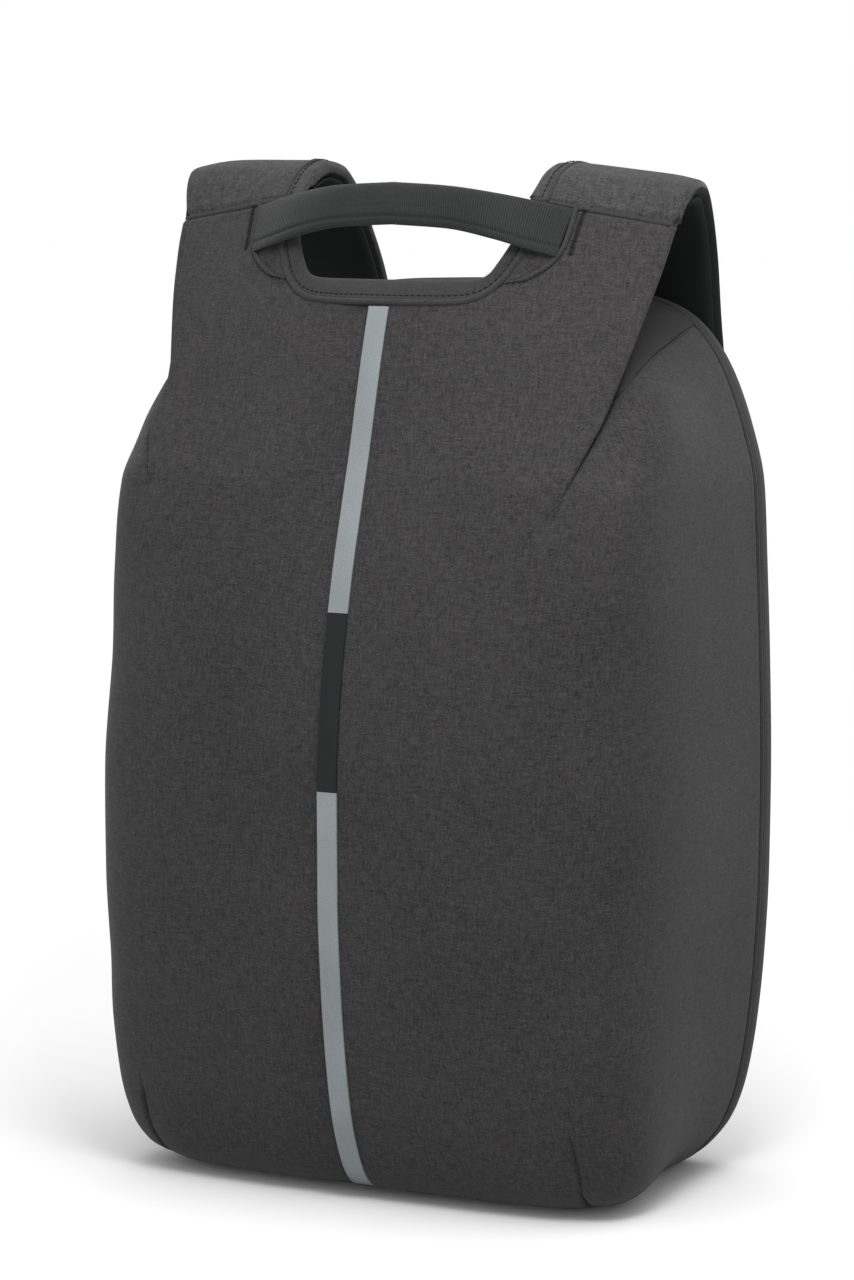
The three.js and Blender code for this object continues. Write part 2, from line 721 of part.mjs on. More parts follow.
// How far forward the faceted front's middle lies at a height.
function middleDepth(z) {
  const along = (heights, depth) => {
    const i = Math.max(1, heights.findIndex((h) => h >= z));
    const [a, b] = [heights[i - 1], heights[i]];
    return mix(depth(a), depth(b), (z - a) / (b - a));
  };
  const body = along(BODY_HEIGHTS, (h) => -skin(0.5, h)[1]);
  return z < SHEET_HEIGHTS[1] ? body : along(SHEET_HEIGHTS, (h) => frontDepth(0, h));
}

function strip(low, high) {
  const between = [...BODY_HEIGHTS.filter((z) => z <= SHEET_HEIGHTS[1]), ...SHEET_HEIGHTS.slice(2)];
  const heights = [low, ...between.filter((z) => z > low + 2 && z < high - 2), high];
  const grid = (lift) =>
    heights.map((z) => [-0.5, 0.5].map((u) => [u * STRIP_WIDTH, -(middleDepth(z) + lift), z]));
  return slab(grid(GAP + STRIP_THICKNESS), grid(GAP));
}

// The scene

const FINISH = {
  fabric: { color: 0x4a494b, roughness: 0.85 },
  gusset: { color: 0x2f3130, roughness: 0.9 },
  mesh: { color: 0x1b1d1c, roughness: 0.95 },
  webbing: { color: 0x2b2d2d, roughness: 0.8 },
  reflective: { color: 0x9aa1a3, roughness: 0.45 },
  label: { color: 0x25282a, roughness: 0.55 },
  plastic: { color: 0x1d1f20, roughness: 0.5 },
};

function meshOf(name, solid, finish) {
  const { vertProperties, triVerts, numProp } = solid.getMesh();
  const positions = new Float32Array((vertProperties.length / numProp) * 3);
  for (let i = 0; i < positions.length / 3; i++) {
    positions.set(vertProperties.subarray(i * numProp, i * numProp + 3), i * 3);
  }
  const geometry = new THREE.BufferGeometry()
    .setAttribute("position", new THREE.BufferAttribute(positions, 3))
    .setIndex(new THREE.BufferAttribute(triVerts, 1));
  geometry.computeVertexNormals();
  const material = new THREE.MeshStandardMaterial({ metalness: 0, ...FINISH[finish] });
  const mesh = new THREE.Mesh(geometry, material);
  mesh.name = name;
  return mesh;
}

const bag = new THREE.Group();
const add = (name, solid, finish) => bag.add(meshOf(name, solid, finish));

add("body_shell", bodyShell(), "fabric");
add("top_gusset", topGusset(), "gusset");
add("opening_piping", tube(pipingPath, PIPING_RADIUS), "fabric");
add("opening_band", openingBand(), "fabric");
add("rim_piping", rimPiping(), "fabric");
add("rim_band", rimBand(), "fabric");
add("back_panel", backPanel(), "mesh");
add("carry_handle", handle(), "webbing");
add("strip_upper", strip(LABEL_HIGH + GAP, STRIP_HIGH), "reflective");
add("strip_label", strip(LABEL_LOW + GAP, LABEL_HIGH), "label");
add("strip_lower", strip(STRIP_LOW, LABEL_LOW), "reflective");
for (const [word, side] of [["right", 1], ["left", -1]]) {
  add(`handle_patch_${word}`, patch(side), "fabric");
  add(`strap_${word}`, strapPad(side), "fabric");
  add(`strap_lining_${word}`, strapLining(side), "mesh");
  add(`webbing_${word}`, webbing(side), "webbing");
  add(`adjuster_${word}`, adjuster(side), "plastic");
  add(`base_tab_${word}`, baseTab(side), "webbing");
}

// The origin is the middle of the whole bag's footprint, at the floor.
const whole = new THREE.Box3().setFromObject(bag);
bag.position.y = -(whole.min.y + whole.max.y) / 2;

export default bag;
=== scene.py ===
# A slim anti theft backpack, standing upright: its finished cloth, seams and trim.
# Tables and sizes are in millimetres, with y measured forwards (negative) and backwards
# (positive) from the plane of the back rim. Cloth.made() turns them into the frame's metres.
import math
from functools import partialmethod

import bmesh
import bpy
import numpy as np
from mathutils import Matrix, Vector


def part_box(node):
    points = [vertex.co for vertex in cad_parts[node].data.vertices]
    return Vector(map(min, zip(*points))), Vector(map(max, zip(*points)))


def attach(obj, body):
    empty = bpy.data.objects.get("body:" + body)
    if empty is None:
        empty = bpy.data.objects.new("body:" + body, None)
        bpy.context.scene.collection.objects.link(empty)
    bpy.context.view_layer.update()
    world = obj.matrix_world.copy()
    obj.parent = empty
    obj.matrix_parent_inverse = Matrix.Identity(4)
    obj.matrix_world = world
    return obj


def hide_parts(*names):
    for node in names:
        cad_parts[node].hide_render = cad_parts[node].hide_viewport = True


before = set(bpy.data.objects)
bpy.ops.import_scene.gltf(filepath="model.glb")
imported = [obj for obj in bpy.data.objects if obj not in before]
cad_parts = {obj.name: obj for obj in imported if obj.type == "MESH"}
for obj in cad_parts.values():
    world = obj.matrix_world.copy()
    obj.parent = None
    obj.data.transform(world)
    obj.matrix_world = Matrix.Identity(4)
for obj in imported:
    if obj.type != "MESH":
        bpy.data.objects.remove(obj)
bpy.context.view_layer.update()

MM = 0.001
RIM_DEPTH = 14
PIPING_RADIUS, TRIM_RADIUS = 1.6, 1.15
SLIT_HEIGHT = 340  # where the wings part from the sides
SLIT_DEPTH = 147.2  # how far in front of the back rim the slit ends
SEAM_HIGH, SEAM_LOW = 476, 464  # the seam from wing to strap, at its inner and outer end
STRAP_INNER, STRAP_OUTER = 61, 133.5  # where that seam starts and stops
FRONT_HALF = 104  # the front's half width below the slit
SHEET_THICKNESS = 3.0
STRIP_LOW, STRIP_HIGH = 6, 425.5
LABEL_LOW, LABEL_HIGH = 201, 284
GAP = 0.3  # between pieces that touch
RIM_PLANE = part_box("rim_piping")[0].y / MM + RIM_DEPTH + PIPING_RADIUS * math.cos(math.pi / 6)


# Small maths

FORWARD = (0, -1, 0)


def mix(a, b, t):
    return a + (b - a) * t


def smooth(t):
    s = np.clip(t, 0, 1)
    return s * s * (3 - 2 * s)


def bell(distance, width):
    return np.exp(-((np.asarray(distance) / width) ** 2))


def columns(names, rows):
    return {name: np.array([row[i] for row in rows], float) for i, name in enumerate(names.split())}


def eased(at, values):
    """A smooth function through the values, with no overshoot."""
    rise = np.diff(values) / np.diff(at)
    slope = np.concatenate([rise[:1], np.zeros(len(values) - 2), rise[-1:]])
    before, after = rise[:-1], rise[1:]
    same = before * after > 0
    slope[1:-1][same] = (2 * before * after / (before + after + (~same)))[same]

    def value(where):
        w = np.clip(where, at[0], at[-1])
        i = np.clip(np.searchsorted(at, w) - 1, 0, len(at) - 2)
        h = at[i + 1] - at[i]
        t = (w - at[i]) / h
        return (
            values[i] * (2 * t**3 - 3 * t**2 + 1)
            + slope[i] * h * (t**3 - 2 * t**2 + t)
            + values[i + 1] * (3 * t**2 - 2 * t**3)
            + slope[i + 1] * h * (t**3 - t**2)
        )

    return value


def by_height(names, rows):
    """A smooth function of z for each of a table's other columns."""
    t = columns(names, rows)
    return {k: eased(t["z"], v) for k, v in t.items() if k != "z"}


def by_step(names, rows):
    """As by_height, but counted in rows."""
    t = columns(names, rows)
    steps = np.arange(len(rows), dtype=float)
    return {k: eased(steps, v) for k, v in t.items()}


def unit(v):
    return v / np.maximum(np.linalg.norm(v, axis=-1, keepdims=True), 1e-9)


def lengths(points):
    """How far along a polyline each point lies."""
    return np.concatenate([[0], np.cumsum(np.linalg.norm(np.diff(points, axis=0), axis=1))])


def along(points, distances, at=None):
    at = lengths(points) if at is None else at
    return np.stack([np.interp(distances, at, points[:, k]) for k in range(points.shape[1])], -1)


def softened(points, rounds, closed=False):
    p = np.array(points, float)
    for _ in range(rounds):
        q = (np.roll(p, 1, 0) + 2 * p + np.roll(p, -1, 0)) / 4
        if not closed:
            q[0], q[-1] = p[0], p[-1]
        p = q
    return p


def parted(line, count):
    """Points at equal distances along a line."""
    return along(line, np.linspace(0, lengths(line)[-1], count))


def even(path, pitch, closed=False):
    """Points along a path at about the stated pitch."""
    p = np.asarray(path, float)
    p = np.concatenate([p, p[:1]]) if closed else p
    count = max(2, round(lengths(p)[-1] / pitch))
    return parted(p, count + 1)[: count if closed else None]


def crowded(start, stop, first, last, count):
    """Places from start to stop with stated steps at either end and even ones between."""
    widest = max(first[-1:], default=0) + max(last[-1:], default=0)
    room = min(1.0, (stop - start) / (2 * widest + 1))
    head, tail = start + room * np.asarray(first), stop - room * np.asarray(last)[::-1]
    low = head[-1] if len(head) else start
    high = tail[0] if len(tail) else stop
    middle = np.linspace(low, high, count - len(head) - len(tail) + 2)[1:-1]
    return np.concatenate([head, middle, tail])


def nearest_to(points, line):
    """The distance from each point of a grid to a polyline."""
    return np.min([np.linalg.norm(points - p, axis=-1) for p in line], axis=0)


def crease_at(distance, deep, reach):
    """A fold down into a seam: deepest on the seam, level beyond its reach."""
    return deep * (1 - smooth(distance / reach))


def raised(flat, z):
    """Gives a flat line's points a height."""
    return np.concatenate([flat, np.full((len(flat), 1), z)], 1)


def mirrored(points):
    return np.asarray(points) * (-1, 1, 1)


def on_side(points, side):
    return points if side > 0 else mirrored(points)


def both_halves(right):
    """The whole of a line or loft whose right half starts in the middle."""
    return np.concatenate([mirrored(right[::-1][:-1]), right])


def word(side):
    return "right" if side > 0 else "left"


# The bag's shape


# Half width at the back rim and at the front corner, and how squarely the corner turns.
BODY = by_height(
    "z rim flank square",
    [
        (0, 104, 117, 7), (4, 113, 131, 7), (12, 122, 142, 7), (25, 132, 147.5, 7),
        (45, 139.5, 149.5, 7), (75, 145, 150, 7), (110, 148.5, 150, 6.5),
        (150, 150.5, 150.5, 6.5), (200, 151, 151.5, 6.5), (250, 150, 149.5, 6.5),
        (300, 148, 147, 8), (340, 146, 144.5, 10), (365, 140, 143, 10), (385, 133, 136, 10),
        (400, 125.5, 122, 10), (412, 116.5, 108, 9), (421, 105.5, 95, 8), (428, 87, 78, 7),
        (432, 60, 56, 6), (434.4, 30, 29, 6), (435, 0.5, 0.5, 6),
    ],
)

# How deep the middle ridge lies, the wings' half width, and the fall from ridge to edge.
FRONT = by_height(
    "z nose wing bow",
    [
        (0, 121, 104, 3), (4, 137, 104, 3), (12, 148, 104, 3.5), (25, 156, 104, 4),
        (45, 163, 104, 4), (75, 168.5, 104, 4), (110, 172.5, 104, 4), (150, 175, 104, 4),
        (200, 175, 104, 4), (250, 170.5, 104, 3.5), (300, 161, 104, 2.5), (340, 149.5, 110, 2),
        (358, 144, 113.5, 8), (382, 137.5, 118.5, 16.5), (400, 132.5, 122.5, 20),
        (424, 125, 127.5, 23.5), (448, 116, 132, 26.5), (464, 108, 133.5, 27),
        (480, 99, 134, 27),
    ],
)

# The seam between the sides and the top gusset, seen from the side, front to back.
TOP_SEAM = by_height(
    "z y",
    [
        (350, -150), (381.5, -120), (390.3, -110), (395.5, -101), (399.8, -89), (408, -54),
        (413.5, -26), (414.5, -14),
    ],
)

# The hand opening's right half: the piping's x and z, and the band's free edge.
OPENING = by_step(
    "x z edge_x edge_y edge_z",
    [
        (0, 427.5, 0, -110.5, 438), (22, 427.5, 20, -109.5, 438), (38, 428, 34, -108.5, 438),
        (48, 430.5, 43, -107.5, 438.5), (55, 435.5, 48.5, -106, 441), (60, 442, 52, -104, 446),
        (64, 450, 55.5, -101, 452.5), (67, 458, 58.5, -97, 459.5), (69, 465, 60.5, -93, 466),
        (70, 474.3, 62, -88, 475.7),
    ],
)
OPENING_STEPS = 9

# A strap's outer face: its middle line, its edges' x, how far the outer edge sits behind
# and below the inner one, and the padding's thickness.
STRAP = by_step(
    "y z inner outer back drop fat",
    [
        (-86.5, 470.3, 61, 133.5, 11, 12, 8), (-80, 480, 61, 136, 7, 7, 9),
        (-71, 487, 61, 137, 3, 7, 9), (-58, 490, 61.5, 136, 0, 8, 9),
        (-42, 488, 63, 132.5, -2, 7, 9), (-26, 480, 64.5, 128, -2, 4, 9),
        (-10, 465, 66, 123, 0, 2, 8), (6, 445, 67, 118, 0, 0, 8),
        (19.5, 417, 67.5, 114, 0, 0, 8), (30.5, 380, 66, 112, 0, 0, 9),
        (37, 335, 64, 109, 0, 0, 9), (42, 285, 62, 107, 0, 0, 9), (43, 235, 63, 107, 0, 0, 9),
        (38, 190, 68, 109, 0, 0, 9), (30, 155, 75, 112, 0, 0, 8), (25, 138, 81, 111, 0, 0, 6),
    ],
)
STRAP_STEPS = 15

WEBBING = columns(
    "x y z",
    [
        (95.5, 20.2, 158), (96.5, 16.6, 139), (97.7, 16, 129.5), (98.1, 22.6, 124.7),
        (98.9, 22.6, 117.3), (99.3, 16, 112.5), (103, 13.5, 90), (107.5, 11.2, 60),
        (111, 9.6, 34),
    ],
)
WEBBING_WIDTH, WEBBING_THICKNESS = 25, 1.8

# The carry handle, from its middle out.
HANDLE = by_step(
    "x y z half fat lean",
    [
        (0, -110.5, 473.5, 10, 9, 1),
        (28, -109.5, 472, 10, 9, 1),
        (52, -106, 468, 10.5, 8, 3),
        (70, -100.4, 463.5, 11, 6, 5),
        (83, -95, 460.2, 11, 3.2, 6.4),
    ],
)
HANDLE_STEPS = 4

# The outer edge of the patch under each handle end, from its top to its foot.
WINDOW = columns(
    "x z",
    [(85.3, 473.4), (84.7, 462), (83.6, 453), (80.4, 447.3), (76, 443.4), (68.4, 438.8), (59, 437)],
)

RIDGE = 0.1


def ridge(u):
    return (np.sqrt(u * u + RIDGE * RIDGE) - RIDGE) / (math.sqrt(1 + RIDGE * RIDGE) - RIDGE)


def front_depth(x, z):
    return FRONT["nose"](z) - FRONT["bow"](z) * ridge(x / FRONT["wing"](z))


TURNS = np.linspace(0, 0.5, 900)


def section(z):
    """The body's right half at a height, from the back rim to the middle of the front."""
    c, s = np.cos(math.pi * TURNS), np.sin(math.pi * TURNS)
    p = BODY["square"](z)
    reach = (c**p + s**p) ** (-1 / p)
    forward = reach * s
    half = mix(BODY["rim"](z), BODY["flank"](z), smooth((forward - 0.3) / 0.7))
    x = half * reach * c
    return np.stack([x, -front_depth(x, z) * forward], -1)


def front_y(x, z):
    """The y of the body's front at x, beyond the section's widest place."""
    line = section(z)
    line = line[int(np.argmax(line[:, 0])) :]
    return np.interp(-np.abs(x), -line[:, 0], line[:, 1])


def square_on(x, z):
    """How far the body's corner rounding has left the front at x: 1 on the flat of it."""
    p = BODY["square"](z)
    u = np.minimum(np.abs(x) / BODY["flank"](z), 0.999)
    return (1 - u**p) ** (1 / p)


# The two halves of the front meet in a fold along the strip's left edge: the right half
# lies on the left one, which sinks beneath it.
FOLD_X, FOLD_DEPTH, FOLD_REACH = -5.9, 1.5, 34


def fold(x):
    return FOLD_DEPTH * smooth((FOLD_X - x) / 0.8) * (1 - smooth((FOLD_X - x) / FOLD_REACH)) ** 2


def swell(x, z):
    """Slow unevenness of the padded cloth."""
    return (
        0.35 * np.sin(x / 31 + z / 47)
        + 0.3 * np.sin(x / 19 - z / 61 + 1.3)
        + 0.2 * np.sin(x / 53 + z / 23 + 0.6)
    )


# The dart sewn into each base corner, from its tip down to the base.
BASE_DART = columns("x z", [(115.0, 53), (117.2, 38), (117.6, 22), (114.5, 8), (112.6, 0)])
DART_DEPTH, DART_WIDTH, DART_GROWTH, HOLLOW_DEPTH = 2.6, 1.05, 2.8, 0.6


# Meshes


class Cloth:
    """Gathers grids of points into one mesh with a map of real lengths for its weave."""

    def __init__(self):
        self.points, self.faces, self.maps, self.slots = [], [], [], []
        self.size = 0

    def grid(self, points, spread=None, wrap=False, flip=False, slot=0):
        points = np.asarray(points, float)
        rows, cols = points.shape[:2]
        spread = measured(points, wrap) if spread is None else spread
        r = np.arange(rows - 1)[:, None]
        c = np.arange(cols if wrap else cols - 1)[None, :]
        d = (c + 1) % cols
        quads = np.stack([r * cols + c, r * cols + d, (r + 1) * cols + d, (r + 1) * cols + c], -1)
        maps = np.stack([spread[r, c], spread[r, c + 1], spread[r + 1, c + 1], spread[r + 1, c]], 2)
        quads, maps = quads.reshape(-1, 4) + self.size, maps.reshape(-1, 4, 2)
        if flip:
            quads, maps = quads[:, ::-1], maps[:, ::-1]
        self.points.append(points.reshape(-1, 3))
        self.faces += quads.tolist()
        self.maps += maps.reshape(-1, 2).tolist()
        self.slots += np.broadcast_to(slot, (rows - 1, c.size)).ravel().tolist()
        self.size += rows * cols
        return self

    def cap(self, ring, flip=False):
        """Closes a ring of points with one face."""
        ring = np.asarray(ring, float)
        ring = ring[::-1] if flip else ring
        centre = ring.mean(0)
        side = unit(ring[0] - centre)
        other = unit(np.cross(side, unit(ring[len(ring) // 4] - centre)))
        up = np.cross(other, side)
        n = len(ring)
        self.points.append(ring)
        self.faces.append(list(range(self.size, self.size + n)))
        self.maps += np.stack([(ring - centre) @ side, (ring - centre) @ up], -1).tolist()
        self.slots.append(0)
        self.size += n
        return self

    def loft(self, rings, flip=False, slot=0):
        rings = np.asarray(rings, float)
        self.grid(rings, wrap=True, flip=flip, slot=slot)
        self.cap(rings[0], flip=not flip)
        return self.cap(rings[-1], flip=flip)

    def made(self, name, *materials, weld=0.02, outwards=False, crease=None):
        points = np.concatenate(self.points)
        points[:, 2] = np.maximum(points[:, 2], 0)
        points = (points + (0, RIM_PLANE, 0)) * MM
        mesh = bpy.data.meshes.new(name)
        mesh.from_pydata(points.tolist(), [], self.faces)
        layer = mesh.uv_layers.new(name="cloth")
        layer.data.foreach_set("uv", (np.array(self.maps) * MM).ravel())
        for material in materials:
            mesh.materials.append(material)
        mesh.polygons.foreach_set("material_index", self.slots)
        mesh.polygons.foreach_set("use_smooth", [True] * len(self.faces))
        work = bmesh.new()
        work.from_mesh(mesh)
        bmesh.ops.remove_doubles(work, verts=work.verts, dist=weld * MM)
        if outwards:
            bmesh.ops.recalc_face_normals(work, faces=work.faces)
        work.to_mesh(mesh)
        work.free()
        if crease:
            mesh.set_sharp_from_angle(angle=math.radians(crease))
        return placed(name, mesh)


def placed(name, data):
    """Puts a mesh, lamp or camera into the scene."""
    made = bpy.data.objects.new(name, data)
    bpy.context.scene.collection.objects.link(made)
    return made


def places(mesh):
    co = np.zeros(len(mesh.vertices) * 3)
    mesh.vertices.foreach_get("co", co)
    return co.reshape(-1, 3)


def move_to(mesh, co):
    mesh.vertices.foreach_set("co", co.ravel())
    mesh.update()


def measured(points, wrap=False, column=0):
    """Real lengths across and along a grid, counted from one column."""
    ring = np.concatenate([points, points[:, :1]], 1) if wrap else points
    across = np.cumsum(np.linalg.norm(np.diff(ring, axis=1), axis=2), axis=1)
    across = np.concatenate([np.zeros((len(points), 1)), across], 1)
    across -= across[:, column : column + 1]
    up = np.repeat(lengths(points[:, column])[:, None], across.shape[1], 1)
    return np.stack([across, up], -1)


def outward(points):
    """Normals of a grid whose rows run along x and whose columns run up."""
    return unit(np.cross(np.gradient(points, axis=1), np.gradient(points, axis=0)))


def tube(cloth, path, radius, sides, up, closed=False, flat=1.0):
    """A round cord along a path; flat scales it in the direction called up."""
    p = np.asarray(path, float)
    run = unit(np.roll(p, -1, 0) - np.roll(p, 1, 0) if closed else np.gradient(p, axis=0))
    up = np.broadcast_to(np.asarray(up, float), p.shape)
    over = unit(up - (up * run).sum(1, keepdims=True) * run)[:, None]
    beside = np.cross(run, over[:, 0])[:, None]
    angle = (np.arange(sides) / sides * 2 * math.pi)[None, :, None]
    r = np.broadcast_to(np.asarray(radius, float), len(p))[:, None, None]
    rings = p[:, None] + (np.cos(angle) * over * flat + np.sin(angle) * beside) * r
    if closed:
        return cloth.grid(np.concatenate([rings, rings[:1]]), wrap=True)
    return cloth.loft(rings)


# Stitches: short threads that dip into the cloth at both ends


STITCH_PITCH, STITCH_LENGTH, STITCH_RADIUS = 3.0, 2.3, 0.32
STITCH_SHAPE = columns(
    "along lift thick",
    [(-0.5, -0.9, 0.4), (-0.36, 0.1, 0.95), (0, 0.55, 1), (0.36, 0.1, 0.95), (0.5, -0.9, 0.4)],
)


def stitch_line(path, normals):
    cloth = Cloth()
    at = lengths(path)
    count = int(at[-1] / STITCH_PITCH)
    for i in range(count):
        where = (i + 0.5) * at[-1] / count + STITCH_SHAPE["along"] * STITCH_LENGTH
        up = unit(along(normals, where, at))
        points = along(path, where, at) + up * (STITCH_SHAPE["lift"] * STITCH_RADIUS)[:, None]
        tube(cloth, points, STITCH_RADIUS * STITCH_SHAPE["thick"], 6, up)
    return cloth


# Materials


class Graph:
    """Short words for building one material's nodes."""

    def __init__(self, name, roughness=0.85, sheen=0.0, sheen_roughness=0.4, shine=0.3):
        self.material = bpy.data.materials.new(name)
        self.material.use_nodes = True
        self.tree = self.material.node_tree
        self.tree.nodes.clear()
        self.shader = self.node("ShaderNodeBsdfPrincipled")
        output = self.node("ShaderNodeOutputMaterial")
        self.link(self.shader.outputs["BSDF"], output.inputs["Surface"])
        self.shader.inputs["Roughness"].default_value = roughness
        self.shader.inputs["Sheen Weight"].default_value = sheen
        self.shader.inputs["Sheen Roughness"].default_value = sheen_roughness
        self.shader.inputs["Specular IOR Level"].default_value = shine

    def node(self, kind, **settings):
        made = self.tree.nodes.new(kind)
        for key, value in settings.items():
            setattr(made, key, value)
        return made

    def link(self, source, target):
        self.tree.links.new(source, target)

    def feed(self, target, value):
        if isinstance(value, bpy.types.NodeSocket):
            self.link(value, target)
        elif value is not None:
            target.default_value = value

    def math(self, operation, a, b=None, c=None, clamp=False):
        made = self.node("ShaderNodeMath", operation=operation, use_clamp=clamp)
        for target, value in zip(made.inputs, (a, b, c)):
            self.feed(target, value)
        return made.outputs[0]

    add = partialmethod(math, "ADD")
    less = partialmethod(math, "SUBTRACT")
    mul = partialmethod(math, "MULTIPLY")
    mad = partialmethod(math, "MULTIPLY_ADD")
    floor = partialmethod(math, "FLOOR")

    def vector(self, x=0.0, y=0.0, z=0.0):
        made = self.node("ShaderNodeCombineXYZ")
        for target, value in zip(made.inputs, (x, y, z)):
            self.feed(target, value)
        return made.outputs[0]

    def humps(self, steps):
        """Rounded humps, one for each whole step."""
        return self.math("ABSOLUTE", self.math("SINE", self.mul(steps, math.pi)))

    def sway(self, tone, noise, middle, amount, clamp=False):
        """Adds a noise to a tone, counted from the noise's own middle."""
        return self.mad(self.less(noise, middle), amount, tone, clamp)

    def split(self, source):
        made = self.node("ShaderNodeSeparateXYZ")
        self.link(source, made.inputs[0])
        return made.outputs

    def noise(self, vector, scale=1.0, detail=2.0):
        made = self.node("ShaderNodeTexNoise")
        self.link(vector, made.inputs["Vector"])
        made.inputs["Scale"].default_value = scale
        made.inputs["Detail"].default_value = detail
        return made.outputs["Fac"]

    def blend(self, factor, a, b):
        made = self.node("ShaderNodeMix", data_type="FLOAT")
        self.feed(made.inputs[0], factor)
        self.feed(made.inputs[2], a)
        self.feed(made.inputs[3], b)
        return made.outputs[0]

    def ramp(self, factor, *stops):
        """Two colours, each at its own place on the factor."""
        made = self.node("ShaderNodeValToRGB")
        for element, (position, colour) in zip(made.color_ramp.elements, stops):
            element.position = position
            element.color = (*colour, 1)
        self.link(factor, made.inputs[0])
        return made.outputs[0]

    def spread(self):
        """The cloth's own lengths across and along, in metres."""
        return self.node("ShaderNodeUVMap", uv_map="cloth").outputs[0]

    def place(self):
        return self.node("ShaderNodeTexCoord").outputs["Object"]

    def bump(self, height, distance, strength=1.0):
        made = self.node("ShaderNodeBump")
        made.inputs["Strength"].default_value = strength
        made.inputs["Distance"].default_value = distance
        self.link(height, made.inputs["Height"])
        self.link(made.outputs[0], self.shader.inputs["Normal"])

    def colour(self, source):
        self.feed(self.shader.inputs["Base Color"], source)


KNIT_PITCH = 0.0006  # a band's own fine threads, in metres


def threads(g, pitch):
    """A plain weave of uneven threads: its height, each thread's shade, and long streaks."""
    wobble = g.noise(g.spread(), scale=0.16 / pitch, detail=1)
    u, v, _ = g.split(g.spread())
    a = g.mad(u, 1 / pitch, g.mul(wobble, 1.4))
    b = g.mad(v, 1 / pitch, g.mul(wobble, -1.1))
    cell_a, cell_b = g.floor(a), g.floor(b)
    round_a, round_b = g.humps(a), g.humps(b)
    parity = g.math("FLOORED_MODULO", g.add(cell_a, cell_b), 2.0)
    over_a = g.mul(round_a, g.mad(round_b, 0.5, 0.5))
    over_b = g.mul(round_b, g.mad(round_a, 0.5, 0.5))
    height = g.blend(parity, over_b, over_a)
    slub_a = g.noise(g.vector(g.mul(cell_a, 7.13), g.mul(b, 0.2)))
    slub_b = g.noise(g.vector(g.mul(a, 0.2), g.mul(cell_b, 7.13), 9.0))
    shade = g.blend(parity, slub_b, slub_a)
    streak_a = g.noise(g.vector(g.mul(a, 0.55), g.mul(b, 0.1), 3.0))
    streak_b = g.noise(g.vector(g.mul(a, 0.1), g.mul(b, 0.55), 6.0))
    streaks = g.add(streak_a, streak_b)
    return height, shade, streaks


def melange(name, dark, light, pitch=0.00075, contrast=1.0, sheen=0.12):
    """Woven cloth of mixed light and dark fibres, in uneven threads."""
    g = Graph(name, roughness=0.9, sheen=sheen, sheen_roughness=0.5, shine=0.08)
    g.shader.inputs["Sheen Tint"].default_value = (0.6, 0.6, 0.6, 1)
    height, shade, streaks = threads(g, pitch)
    patches = g.noise(g.place(), scale=14, detail=3)
    fibres = g.noise(g.spread(), scale=1.3 / pitch, detail=2)
    tone = g.sway(0.5, shade, 0.5, 1.2 * contrast)
    tone = g.sway(tone, streaks, 1.0, 0.55 * contrast)
    tone = g.sway(tone, fibres, 0.5, 0.7 * contrast)
    specks = g.noise(g.spread(), scale=0.8 / pitch, detail=0)
    specks = g.mul(g.less(specks, 0.64), 5.0, clamp=True)
    tone = g.mad(specks, 0.5 * contrast, tone)
    tone = g.sway(tone, patches, 0.5, 0.3)
    tone = g.sway(tone, height, 0.6, 0.16, clamp=True)
    g.colour(g.ramp(tone, (0.0, dark), (1.0, light)))
    g.bump(g.mad(shade, 0.6, height), 0.0002, 0.4)
    return g.material


def ribbed(name, dark, light, pitch):
    """A band with narrow ribs across it."""
    g = Graph(name, roughness=0.85, sheen=0.08, shine=0.1)
    u, v, _ = g.split(g.spread())
    a = g.mul(v, 1 / pitch)
    b = g.mul(u, 1 / KNIT_PITCH)
    rib, knit = g.humps(a), g.humps(b)
    row = g.mul(g.floor(a), 3.7)
    speckle = g.noise(g.vector(row, g.mul(b, 0.25)))
    wear = g.noise(g.place(), scale=30, detail=3)
    tone = g.mad(rib, 0.45, g.mul(speckle, 0.4))
    tone = g.sway(tone, wear, 0.5, 0.4, clamp=True)
    g.colour(g.ramp(tone, (0.0, dark), (1.0, light)))
    g.bump(g.mad(knit, 0.35, rib), 0.0003, 0.8)
    return g.material


def spacer_mesh(name, dark, light, pitch=0.0024):
    """Knitted mesh: rows of small round holes, each row shifted by half a step."""
    g = Graph(name, roughness=0.9, sheen=0.05, shine=0.08)
    u, v, _ = g.split(g.spread())
    row = g.mul(v, 1 / (pitch * 0.87))
    shift = g.mul(g.math("FLOORED_MODULO", g.floor(row), 2.0), 0.5)
    step = g.add(g.mul(u, 1 / pitch), shift)
    dx = g.less(g.math("FRACT", step), 0.5)
    dy = g.less(g.math("FRACT", row), 0.5)
    far = g.math("SQRT", g.add(g.mul(dx, dx), g.mul(dy, dy)))
    hole = g.mul(g.less(0.36, far), 8.0, clamp=True)
    fuzz = g.noise(g.spread(), scale=1800, detail=1)
    tone = g.mad(hole, -0.7, g.mad(fuzz, 0.5, 0.5), clamp=True)
    g.colour(g.ramp(tone, (0.0, dark), (1.0, light)))
    g.bump(g.less(1.0, hole), 0.0004, 0.7)
    return g.material


def beaded(name, dark, light):
    """Reflective tape: a smooth ground of tiny glass beads."""
    g = Graph(name, roughness=0.42)
    beads = g.noise(g.spread(), scale=2600, detail=1)
    cloud = g.noise(g.place(), scale=22, detail=2)
    tone = g.mad(cloud, 0.5, g.mul(beads, 0.6), clamp=True)
    g.colour(g.ramp(tone, (0.2, dark), (0.8, light)))
    g.bump(beads, 0.00006, 0.5)
    return g.material


def times(colour, k):
    return tuple(k * c for c in colour)


